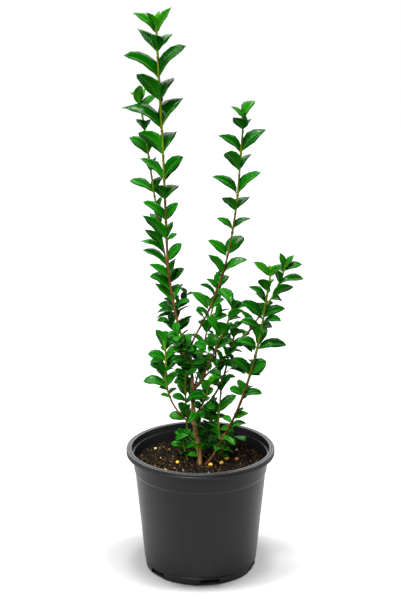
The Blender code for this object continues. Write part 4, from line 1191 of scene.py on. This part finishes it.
def refine_shoot(shoot):
    """Carry a shoot's rule on: fine twigs low down, and single leaves or tiny ones in the axils above."""
    rng, height = random.Random(shoot.seed + 500), measured_from(shoot)
    leaves, twigs = tip_rosette(shoot, rng) if height == math.inf else [], []
    for *axil, has_twig in CROWN[shoot.name][2]:
        centre, outward, direction, radius, _, _, share = axil
        measured = centre[2] > height
        if outward[1] < HIDDEN_SIDE if measured else has_twig:
            continue
        low, high = COMPANION_HEIGHTS
        beside = not measured and low < centre[2] < high and share < COMPANION_BELOW
        if beside and rng.random() < COMPANION_CHANCE:
            found = companion(*axil, rng)
            leaves += found
            if found:
                continue
        if rng.random() < FINE_CHANCE * min(1.0, max(0.0, (FINE_TOP - centre[2]) / FINE_FADE)):
            more, twig = fine_twig(centre, outward, direction, share * AXIL_TWIG_YOUTH, rng)
            leaves, twigs = leaves + more, twigs + twig
        elif rng.random() < AXIL_CHANCE:
            leaves += room_leaf(AXIL_YOUTH, rng, centre + direction * AXIL_LIFT, outward, direction,
                                radius, rng.uniform(*AXIL_LEAF), AXIL_SHAPE, AXIL_RISE)
    return leaves, twigs


FINE = {shoot.name: refine_shoot(shoot) for shoot in SHOOTS}
print("finer leaves on shoots:", sum(len(leaves) for leaves, _ in FINE.values()))

# %% Finer growth on old wood
OLD_WOOD_GAP, OLD_WOOD_LEAF, OLD_WOOD_RISE = (12.0, 18.0), (19.0, 27.0), (60.0, 4.0)
OLD_WOOD_CHANCE, OLD_WOOD_TOP, OLD_WOOD_SHAPE = 0.55, 290.0, 0.55
OLD_WOOD_STARTS, OLD_WOOD_END, OLD_WOOD_ROOT = (12.0, 30.0), 4.0, 0.6
LOW_WOOD, HIGH_WOOD = (1.0, 0.45), (0.6, 0.9)
OLD_LEAF_YOUTH, OLD_TWIG_YOUTH = 0.2, 0.3


def refine_limb(number, limb):
    """Leaf pairs and fine twigs along the old wood of a bough, each place a quarter turn on."""
    rng = random.Random(900 + number)
    leaves, twigs, joints = [], [], []
    on_bough, on_stem = OLD_WOOD_STARTS
    distance, turn = on_bough if limb.parent else on_stem, rng.uniform(0, 180)
    while distance < limb.length - OLD_WOOD_END:
        centre, direction = along(limb, distance)
        radius = float(limb_radius(limb, distance))
        joints.append(distance)
        share, single = LOW_WOOD if centre[2] < OLD_WOOD_TOP else HIGH_WOOD
        for outward in pair_directions(direction, turn):
            if rng.random() > OLD_WOOD_CHANCE * share:
                continue
            root = centre + outward * radius * OLD_WOOD_ROOT
            if rng.random() < single:
                leaves += room_leaf(OLD_LEAF_YOUTH, rng, root, outward, direction, radius,
                                    rng.uniform(*OLD_WOOD_LEAF), OLD_WOOD_SHAPE, OLD_WOOD_RISE)
            else:
                more, twig = fine_twig(root, outward, direction, OLD_TWIG_YOUTH, rng)
                leaves, twigs = leaves + more, twigs + twig
        distance += rng.uniform(*OLD_WOOD_GAP)
        turn += 90.0
    return leaves, twigs, joints


OLD_WOOD = {limb.name: refine_limb(number, limb) for number, limb in enumerate(LIMBS)}
OLD_WOOD["trunk"][0].extend(TRUNK_LEAVES)
print("leaves on old wood:", sum(len(leaves) for leaves, _, _ in OLD_WOOD.values()))


# %% [markdown]
# ## Stems and bark
# A stem is a tube whose rings are worked out together: a ring's radius tapers along the limb, swells at
# each leaf joint, and carries ridges on old bark. The youngest wood is green and older wood turns tan and
# then brown, so the rings of a shoot wear different colours, which change at a joint.

# %% Tubes
NO_LIMBS_WAY = (0.31, 0.87, 0.38)


def tube(centres, radii):
    """Rings of radius r round a path's points, in the plane across its direction, with fans as ends."""
    count, sides = radii.shape
    direction = unit(np.gradient(centres, axis=0))
    across = unit(np.cross(direction, NO_LIMBS_WAY))
    other = np.cross(direction, across)
    angle = (np.arange(sides) * 2 * np.pi / sides)[None, :, None]
    ring = np.cos(angle) * across[:, None] + np.sin(angle) * other[:, None]
    points = np.concatenate([(centres[:, None] + radii[..., None] * ring).reshape(-1, 3), centres[[0, -1]]])
    return points, *ring_faces(count, sides), ring


def ridges(distances, sides, rng, count, height, turns, pace):
    """Bark relief: a sum of waves round and along the limb, with chance phases."""
    angle = np.arange(sides)[None, :] * 2 * np.pi / sides
    relief = np.zeros((len(distances), sides))
    for _ in range(count):
        round_count, along_pace = rng.integers(1, turns + 1), rng.uniform(*pace)
        wave = np.sin(round_count * angle + along_pace * distances[:, None] + rng.uniform(0, 2 * np.pi))
        relief += wave / (1 + 0.25 * round_count)
    return relief * height / math.sqrt(count)


print("corners of a test tube:", len(tube(np.eye(3), np.ones((3, 6)))[0]))

# %% Limb bark
LIMB_SIDES, LIMB_RING = 28, 0.9
SLIM, TRUNK_SLIM = 0.66, 0.68
LIMB_BARK = {"trunk": OLD, "leader_bough": OLD, "left_stem": GREEN}
COLLAR, COLLAR_FADE = 0.30, 3.5
JOINT_SWELL, JOINT_REACH = 0.16, 1.3
LOBES, LOBE_SIZE, LOBE_FADE = 3, 0.16, 9.0


def collar(limb, distances):
    """How much thicker a limb is where it leaves its parent."""
    return 1 + COLLAR * np.exp(-distances / COLLAR_FADE) * bool(limb.parent)


def make_limb(limb, number):
    """A limb with its bark: ridges, a collar where it leaves its parent, and rings at old leaf joints."""
    rng = np.random.default_rng(40 + number)
    distances = np.linspace(0, limb.length, max(12, round(limb.length / LIMB_RING)))
    radius = limb_radius(limb, distances) * (SLIM if limb.parent else TRUNK_SLIM) * collar(limb, distances)
    joints = np.array([*OLD_WOOD[limb.name][2], math.inf])
    nearest = np.abs(distances[:, None] - joints[None]).min(axis=1)
    radius = radius * (1 + JOINT_SWELL * np.exp(-(nearest / JOINT_REACH) ** 2))
    thick = radius.mean()
    relief = ridges(distances, LIMB_SIDES, rng, 16, 0.055 * thick, 9, (0.05, 0.5))
    relief += ridges(distances, LIMB_SIDES, rng, 10, 0.022 * thick, 3, (0.8, 2.6))
    radii = radius[:, None] + relief
    if not limb.parent:
        angle = np.arange(LIMB_SIDES)[None, :] * 2 * np.pi / LIMB_SIDES
        lobes = LOBE_SIZE * np.cos(LOBES * angle + number)
        radii = radii * (1 + lobes * np.exp(-distances / LOBE_FADE)[:, None])
    points, quads, fans, _ = tube(path_at(limb, distances), radii)
    mesh = mesh_from(limb.name + "_bark", points, [quads, fans])
    look = STEM_LOOKS[LIMB_BARK.get(limb.name, BROWN)]
    return add_piece(limb.name + "_bark", mesh, [look], "bark", limb.name)


for number, limb in enumerate(LIMBS):
    make_limb(limb, number)
print("limbs with bark:", len(LIMBS))

# %% Shoot stems and side twigs
STEM_SIDES, STEM_RING, STEM_FULL = 12, 1.1, (0.74, 1.48)
PAIR_SWELL, PAIR_REACH, JOINT_BAND = 0.42, 1.5, 0.7
TWIG_SIDES, TWIG_SWELL, TWIG_FADE = 7, 0.5, 9
TWIG_STAGE, TWIG_STAGE_RISE = 0.42, 0.5
STAGES = ((0.26, BROWN), (0.44, RIPENING), (0.88, GREEN), (1.01, YOUNG))
GREEN_FROM_FOOT = ("left_upright_foliage", "right_upright_foliage", "basal_left_foliage")


def stage_of(share):
    """Which stem colour a share of the shoot's length wears."""
    return next(look for limit, look in STAGES if share <= limit)


def add_stem(shape, shoot):
    """Gather a shoot's stem: it tapers, swells at each leaf joint, and its colour changes at joints."""
    _, _, axils, joints = CROWN[shoot.name]
    joints = np.array(joints)
    reach = np.linspace(0, shoot.length, max(12, round(shoot.length / STEM_RING)))
    radius = limb_radius(shoot, reach) * blend(STEM_FULL, reach / shoot.length) * collar(shoot, reach)
    centres = path_at(shoot, reach)
    apart = np.abs(reach[:, None] - joints[None])
    nearest, which = apart.min(axis=1), apart.argmin(axis=1)
    radius = radius * (1 + 1.2 * JOINT_SWELL * np.exp(-(nearest / JOINT_REACH) ** 2))
    radii = np.repeat(radius[:, None], STEM_SIDES, axis=1)
    pair_ways = np.array([axil[1] for axil in axils[::2]])
    facing = np.abs((tube(centres, radii)[3] * pair_ways[which][:, None]).sum(axis=2)) ** 4
    radii = radii + PAIR_SWELL * facing * np.exp(-(nearest / PAIR_REACH) ** 2)[:, None]
    points, quads, fans, _ = tube(centres, radii)
    middle = (reach[1:] + reach[:-1]) / 2
    stages = [stage_of(share) for share in (0.0, *(joints / shoot.length))]
    rows = np.array(stages)[np.searchsorted(joints, middle)]
    if shoot.name in GREEN_FROM_FOOT:
        rows = np.maximum(rows, GREEN)
    near_joint = np.abs(middle[:, None] - joints[None]).min(axis=1) < JOINT_BAND
    rows[near_joint & (rows >= RIPENING)] = JOINT
    shape.add(points, [(quads, np.repeat(rows, STEM_SIDES)), (fans, rows[-1])])


def add_twigs(shape, twigs):
    """Gather side twigs: smooth curves through three points, thinner towards the tip."""
    share = np.linspace(0, 1, 9)
    for twig in twigs:
        centres = bend_through(np.array(twig.points)[:, None], share[:, None])
        radius = blend(twig.radii, share) * (1 + TWIG_SWELL * np.exp(-share * TWIG_FADE))
        corners, quads, fans, _ = tube(centres, np.repeat(radius[:, None], TWIG_SIDES, axis=1))
        look = stage_of(min(1.0, twig.youth * TWIG_STAGE_RISE + TWIG_STAGE))
        shape.add(corners, [(quads, look), (fans, look)])


def make_foliage(limb, seed, *groups):
    """The leaves of a shoot or a limb as one piece: groups of leaves, each with its rows."""
    foliage, rng = Gathered(), np.random.default_rng(seed)
    for leaves, rows in groups:
        if leaves:
            add_blades(foliage, leaves, rows, rng)
    if foliage.count:
        mesh = foliage.mesh(limb.name + "_leaves")
        add_piece(limb.name + "_leaves", mesh, BLADE_LOOKS, "foliage", limb.name)


def make_wood(limb, twigs):
    """The green stem of a shoot and the side twigs of a shoot or a limb as one piece."""
    wood = Gathered()
    if limb.gaps:
        add_stem(wood, limb)
    add_twigs(wood, twigs)
    if wood.count:
        add_piece(limb.name + "_twigs", wood.mesh(limb.name + "_twigs"), STEM_LOOKS, "bark", limb.name)


for number, shoot in enumerate(SHOOTS):
    leaves, twigs, _, _ = CROWN[shoot.name]
    fine_leaves, fine_twigs = FINE[shoot.name]
    make_foliage(shoot, 70 + number, (leaves, ROWS), (fine_leaves, SMALL_ROWS))
    make_wood(shoot, twigs + fine_twigs)
for number, limb in enumerate(LIMBS):
    make_foliage(limb, 110 + number, (OLD_WOOD[limb.name][0], SMALL_ROWS))
    make_wood(limb, OLD_WOOD[limb.name][1])
print("leaves in all:", sum(len(grown[0]) for part in (CROWN, FINE, OLD_WOOD) for grown in part.values()))


# %% [markdown]
# ## The pot
# A nursery pot is thin black plastic: a rolled rim with fine grooves, a collar that lets pots stack, a
# plain tapering wall, and a foot with drain notches. It is one profile turned about the pot's axis. The
# corners of the profile are rounded, because a moulded edge always catches a thin line of light.

# %% Profile of the pot
POT_HEIGHT, POT_FLOOR, WALL, EDGE = 160.0, 2.5, 1.6, 0.8
RIM_RADIUS, RIM_WIDTH, RIM_DEPTH = 95.0, 7.0, 7.0
RIM_GROOVE, GROOVE_DROP, GROOVE_STEP = 0.8, 3.0, 1.3
TOP_GROOVE, TOP_GROOVE_IN, TOP_GROOVE_WIDTH = 0.6, 3.2, 1.3
COLLAR_TOP_RADIUS, COLLAR_FOOT, COLLAR_STEP, COLLAR_FLARE = 87.2, 132.0, 2.7, 1.0
WALL_FOOT, WALL_FOOT_RADIUS, WALL_TAPER = 9.5, 72.8, 0.0929
FOOT_RADIUS, FOOT_GROOVE, FOOT_EDGE, FOOT_DRAFT = 71.2, 1.6, 0.5, 0.4
LEDGE_DROP, LEDGE_WIDTH = 8.0, 1.9


def wall_radius(height):
    """Outer radius of the pot's tapering wall at a height."""
    return WALL_FOOT_RADIUS + WALL_TAPER * (height - WALL_FOOT)


def pot_profile():
    """The pot's section from the middle of its floor, up the inside, over the rim and down the outside.

    Each corner is (radius, height, how much it is rounded).
    """
    ledge, ledge_radius = POT_HEIGHT - LEDGE_DROP, RIM_RADIUS - RIM_WIDTH - EDGE
    step_foot, lip_foot = COLLAR_FOOT - COLLAR_STEP, POT_HEIGHT - RIM_DEPTH
    groove, top_groove = POT_HEIGHT - GROOVE_DROP, RIM_RADIUS - TOP_GROOVE_IN
    collar_radius = COLLAR_TOP_RADIUS - WALL_TAPER * (lip_foot - COLLAR_FOOT)
    return [
        (0.0, POT_FLOOR, 0.0),
        (FOOT_RADIUS - WALL, POT_FLOOR, 1.0),
        (FOOT_RADIUS - WALL + FOOT_DRAFT, WALL_FOOT + EDGE, 0.6),
        (wall_radius(WALL_FOOT) - WALL, WALL_FOOT + EDGE + WALL, 0.6),
        (wall_radius(step_foot) - WALL, step_foot + EDGE, 0.8),
        (wall_radius(COLLAR_FOOT) - WALL + COLLAR_FLARE, COLLAR_FOOT + EDGE, 0.8),
        (ledge_radius - LEDGE_WIDTH, ledge, 0.8),
        (ledge_radius, ledge, 0.3),
        (RIM_RADIUS - RIM_WIDTH, POT_HEIGHT, 1.1),
        (top_groove - TOP_GROOVE_WIDTH / 2, POT_HEIGHT, 0.4),
        (top_groove, POT_HEIGHT - TOP_GROOVE, 0.3),
        (top_groove + TOP_GROOVE_WIDTH / 2, POT_HEIGHT - 0.2, 0.4),
        (RIM_RADIUS - 0.3, POT_HEIGHT - 0.4, 1.4),
        (RIM_RADIUS, groove + 0.7, 0.3),
        (RIM_RADIUS - RIM_GROOVE, groove, 0.2),
        (RIM_RADIUS - RIM_GROOVE, groove - 0.4, 0.2),
        (RIM_RADIUS, groove - GROOVE_STEP, 0.25),
        (RIM_RADIUS, lip_foot, 0.6),
        (COLLAR_TOP_RADIUS, lip_foot, 0.9),
        (collar_radius, COLLAR_FOOT, 0.7),
        (wall_radius(step_foot), step_foot, 1.2),
        (wall_radius(WALL_FOOT), WALL_FOOT + FOOT_GROOVE, 0.6),
        (FOOT_RADIUS - 0.1, WALL_FOOT + FOOT_GROOVE * 0.6, 0.2),
        (FOOT_RADIUS + FOOT_DRAFT + FOOT_EDGE, WALL_FOOT - 0.2, 0.35),
        (FOOT_RADIUS, 0.0, 0.6),
        (0.0, 0.0, 0.0),
    ]


def rounded(corners, count=5):
    """Round the corners of a profile: each becomes a curve between two points a little way off it."""
    points = np.array([corner[:2] for corner in corners])
    made, t = [points[:1]], np.linspace(0, 1, count)[:, None]
    for before, corner, after, (_, _, size) in zip(points, points[1:], points[2:], corners[1:]):
        back, ahead = before - corner, after - corner
        reach = min(size, 0.45 * np.linalg.norm(back), 0.45 * np.linalg.norm(ahead))
        first, last = corner + unit(back) * reach, corner + unit(ahead) * reach
        made.append(first * (1 - t) ** 2 + corner * 2 * t * (1 - t) + last * t ** 2)
    return np.concatenate([*made, points[-1:]])


def turned(profile, sides):
    """A profile whose two ends lie on the axis, turned about Z: x = r cos a, y = r sin a."""
    angle = np.arange(sides) * 2 * np.pi / sides
    radius, height = profile[1:-1, :1], np.repeat(profile[1:-1, 1:], sides, axis=1)
    points = np.stack([radius * np.cos(angle), radius * np.sin(angle), height], axis=2).reshape(-1, 3)
    ends = [[0, 0, profile[0, 1]], [0, 0, profile[-1, 1]]]
    quads, fans = ring_faces(len(radius), sides)
    return np.concatenate([points, ends]), quads[:, ::-1], fans[:, ::-1]


print("corners of the pot's section:", len(pot_profile()), "and when rounded:", len(rounded(pot_profile())))

# %% Drain notches
POT_SIDES, SHARP = 192, 38
NOTCHES, NOTCH_TURN = 6, -80.4
NOTCH_WIDTH, NOTCH_HEIGHT, NOTCH_FLARE, NOTCH_CORNER = 27.0, 8.0, 0.40, 1.6
NOTCH_DEPTH, NOTCH_REACH = 9.0, 6.0


def notch_cutter(number):
    """A block laid across the foot for one notch: rounded upper corners, and sides that lean outwards."""
    t = np.linspace(0, np.pi / 2, 6)
    half = NOTCH_WIDTH / 2 - NOTCH_FLARE * NOTCH_HEIGHT / 2
    right = np.stack([half + NOTCH_CORNER * (np.cos(t) - 1),
                      NOTCH_HEIGHT + NOTCH_CORNER * (np.sin(t) - 1)], axis=1)
    wide = half + 2 * NOTCH_FLARE * NOTCH_HEIGHT
    right = np.concatenate([[[wide, -NOTCH_HEIGHT]], right])
    outline = np.concatenate([right, right[::-1] * [-1, 1]])
    angle = math.radians(NOTCH_TURN + number * 360.0 / NOTCHES)
    way, side = np.array([[math.cos(angle), math.sin(angle), 0.0], [-math.sin(angle), math.cos(angle), 0.0]])
    flat = outline[:, :1] * side + outline[:, 1:] * np.array([0, 0, 1.0])
    reaches = (FOOT_RADIUS - NOTCH_DEPTH, FOOT_RADIUS + NOTCH_REACH)
    points = np.concatenate([flat + way * reach for reach in reaches])
    index, count = np.arange(len(outline)), len(outline)
    after = np.roll(index, -1)
    sides = np.stack([index, after, after + count, index + count], axis=1)
    return points, [(sides, 0), (np.stack([index[::-1], index + count]), 0)]


def make_pot():
    """Turn the shell, cut the notches out of its foot with a Boolean, and put it in the pot's place."""
    points, quads, fans = turned(rounded(pot_profile()), POT_SIDES)
    shell = add_object("pot_blank", mesh_from("pot_blank", points, [quads, fans]))
    blocks = Gathered()
    for number in range(NOTCHES):
        blocks.add(*notch_cutter(number))
    cutter = add_object("notch_cutter", blocks.mesh("notch_cutter"))
    cut = shell.modifiers.new("Notches", "BOOLEAN")
    cut.operation, cut.object = "DIFFERENCE", cutter
    bpy.context.view_layer.update()
    depsgraph = bpy.context.evaluated_depsgraph_get()
    mesh = bpy.data.meshes.new_from_object(shell.evaluated_get(depsgraph), depsgraph=depsgraph)
    for helper in (shell, cutter):
        bpy.data.objects.remove(helper, do_unlink=True)
    mesh.name = "pot_shell"
    mesh.shade_smooth()
    mesh.set_sharp_from_angle(angle=math.radians(SHARP))
    mesh.materials.clear()
    return add_piece("pot_shell", mesh, [PLASTIC], "black_plastic", "pot")


pot = make_pot()
link_light("lit_by_low_back_box", pot, BOXES[-1:], "INCLUDE")
print("pot faces:", len(pot.data.polygons), "size", [round(side / MM, 1) for side in pot.dimensions])


# %% [markdown]
# ## The compost
# Potting compost is peat and bark crumbs with a few grains of fertiliser. Its body fills the pot and has
# an uneven top. On it lie thousands of crumbs, each the same twenty-faced lump stretched, turned and dented
# by its own chances. Flat ones make chips. The yellowish grains lie where the picture shows them.

# %% Compost body
SOIL_RINGS, SOIL_SIDES, SOIL_WAVES = 64, 168, 46


def soil_height(x, y):
    """Height of the compost: its level and a sum of short waves in all directions, lower at the wall."""
    rng = np.random.default_rng(5)
    sizes = rng.uniform(5.0, 34.0, SOIL_WAVES)
    ways, phases = rng.uniform(0, 2 * np.pi, (2, SOIL_WAVES))
    total = np.zeros_like(x)
    for size, angle, start in zip(sizes, ways, phases):
        total += size * 0.011 * np.sin((x * np.cos(angle) + y * np.sin(angle)) * 2 * np.pi / size + start)
    return SOIL_LEVEL - 0.4 + total - 1.2 * np.clip((np.hypot(x, y) - 66.0) / 16.0, 0, 1) ** 2


def make_compost():
    """The compost's body: rings of the uneven top, then rings down the wall to a flat underside."""
    inside, foot, bottom = wall_radius(COLLAR_FOOT) - WALL + COLLAR_FLARE, COLLAR_FOOT + EDGE, POT_FLOOR + 0.6
    ledge = (RIM_RADIUS - RIM_WIDTH - EDGE - LEDGE_WIDTH, POT_HEIGHT - LEDGE_DROP)
    top = blend((inside, ledge[0]), (SOIL_LEVEL - foot) / (ledge[1] - foot)) - 0.4
    below = [(inside - 0.4, foot), (wall_radius(WALL_FOOT) - WALL - 0.5, WALL_FOOT + EDGE + WALL + 0.4),
             (FOOT_RADIUS - WALL - 0.6, bottom)]
    radii = [*top * np.linspace(0, 1, SOIL_RINGS + 1)[1:], *(radius for radius, _ in below)]
    angle = np.arange(SOIL_SIDES) * 2 * np.pi / SOIL_SIDES
    x, y = np.outer(radii, np.cos(angle)), np.outer(radii, np.sin(angle))
    z = soil_height(x, y)
    z[SOIL_RINGS:] = [[height] for _, height in below]
    middle = [[0, 0, float(soil_height(np.zeros(1), np.zeros(1))[0])], [0, 0, bottom]]
    points = np.concatenate([np.stack([x, y, z], axis=2).reshape(-1, 3), middle])
    faces = [flipped(part) for part in ring_faces(len(radii), SOIL_SIDES)]
    return add_piece("compost_fill", mesh_from("compost_fill", points, faces), [SOIL], "compost", "compost")


print("faces of the compost's body:", len(make_compost().data.polygons))

# %% Lumps
CRUMB_REACH, SMALL_ONES, SUNK = 81.0, 3.2, (0.1, 0.75)
GOLDEN = (1 + 5 ** 0.5) / 2
LUMP_CORNERS = np.array([(-1, GOLDEN, 0), (1, GOLDEN, 0), (-1, -GOLDEN, 0), (1, -GOLDEN, 0)])
LUMP_CORNERS = unit(np.concatenate([np.roll(LUMP_CORNERS, turn, axis=1) for turn in range(3)]))
LUMP_FACES = np.array([
    (0, 11, 5), (0, 5, 1), (0, 1, 7), (0, 7, 10), (0, 10, 11), (1, 5, 9), (5, 11, 4), (11, 10, 2), (10, 7, 6),
    (7, 1, 8), (3, 9, 4), (3, 4, 2), (3, 2, 6), (3, 6, 8), (3, 8, 9), (4, 9, 5), (2, 4, 11), (6, 2, 10),
    (8, 6, 7), (9, 8, 1)])


def about(axis, angles):
    """Matrices that turn by many angles about one axis."""
    first, second = (axis + 1) % 3, (axis + 2) % 3
    turns = np.tile(np.eye(3), (len(angles), 1, 1))
    turns[:, first, first] = turns[:, second, second] = np.cos(angles)
    turns[:, second, first], turns[:, first, second] = np.sin(angles), -np.sin(angles)
    return turns


def scatter(count, stretch, sizes, dent, rng, tilt=1.0):
    """Points and faces of many lumps, each stretched, dented, turned and laid on the compost."""
    size = sizes[0] + (sizes[1] - sizes[0]) * rng.random(count) ** SMALL_ONES
    shape = LUMP_CORNERS[None] * (1 + dent * rng.normal(size=(count, len(LUMP_CORNERS), 1)))
    shape = shape * (size[:, None, None] * rng.uniform(*stretch, (count, 1, 3)))
    spin, tip, roll = rng.uniform(0, 2 * np.pi, (3, count)) * [[1], [tilt], [tilt]]
    shape = np.einsum("nij,nkj->nki", about(2, spin) @ about(0, tip) @ about(1, roll), shape)
    radius, angle = CRUMB_REACH * np.sqrt(rng.random(count)), rng.uniform(0, 2 * np.pi, count)
    x, y = radius * np.cos(angle), radius * np.sin(angle)
    lift = -shape[..., 2].min(axis=1) * rng.uniform(*SUNK, count)
    place = np.stack([x, y, soil_height(x, y) + lift], axis=1)
    offset = (np.arange(count) * len(LUMP_CORNERS))[:, None, None]
    return (shape + place[:, None]).reshape(-1, 3), (LUMP_FACES[None] + offset).reshape(-1, 3)


print("faces of a lump:", len(LUMP_FACES))

# %% Crumbs, chips and grains
LUMPS = (
    (6200, ([0.55, 0.55, 0.45], [1.25, 1.25, 1.0]), (0.42, 2.1), 0.16, 1.0, [0.42, 0.36, 0.19, 0.03]),
    (420, ([1.2, 0.22, 0.14], [3.2, 0.55, 0.30]), (0.8, 2.1), 0.10, 0.08, [0.25, 0.37, 0.30, 0.08]),
)
GRAINS = (
    (33.7, 6.6, 3.5, 0), (26.8, -13.1, 3.0, 0), (12.9, -18.5, 2.8, 0), (46.7, -0.5, 2.6, 2),
    (47.6, 37.0, 1.8, 1), (-59.0, 35.3, 2.0, 1), (-29.4, -13.1, 2.5, 0), (-44.0, -38.0, 1.7, 0),
    (5.0, 52.0, 1.9, 0), (-12.0, -58.0, 1.7, 2), (58.0, -30.0, 1.8, 0), (-52.0, 8.0, 1.5, 1),
)
GRAIN_RINGS, GRAIN_SIDES, GRAIN_FLAT, GRAIN_UNEVEN = 11, 16, 0.92, 0.05


def make_crumbs():
    """Crumbs of all sizes, and chips and fibres that lie flat."""
    rng, shape = np.random.default_rng(17), Gathered()
    for count, stretch, sizes, dent, tilt, shares in LUMPS:
        points, faces = scatter(count, stretch, sizes, dent, rng, tilt)
        shape.add(points, [(faces, np.repeat(rng.choice(4, count, p=shares), len(LUMP_FACES)))])
    mesh = shape.mesh("compost_crumbs")
    mesh.shade_flat()
    return add_piece("compost_crumbs", mesh, CRUMB_LOOKS, "compost", "compost")


def make_grains():
    """Round grains of fertiliser: a ball's grid of rings, a little flattened, half sunk in the crumbs."""
    tilt = np.linspace(np.pi, 0, GRAIN_RINGS)
    rng, shape = np.random.default_rng(23), Gathered()
    for x, y, size, look in GRAINS:
        profile = np.stack([size * np.sin(tilt), -size * GRAIN_FLAT * np.cos(tilt)], axis=1)
        points, quads, fans = turned(profile, GRAIN_SIDES)
        points = points * (1 + GRAIN_UNEVEN * rng.normal(size=(1, 3)))
        base = float(soil_height(np.array([x]), np.array([y]))[0])
        shape.add(points + [x, y, base + size * 0.75], [(quads, look), (fans, look)])
    mesh = shape.mesh("fertiliser_grains")
    return add_piece("fertiliser_grains", mesh, GRANULE_LOOKS, "compost", "compost")


lying = (make_crumbs(), make_grains())
print("faces of crumbs and chips, and of grains:", [len(piece.data.polygons) for piece in lying])
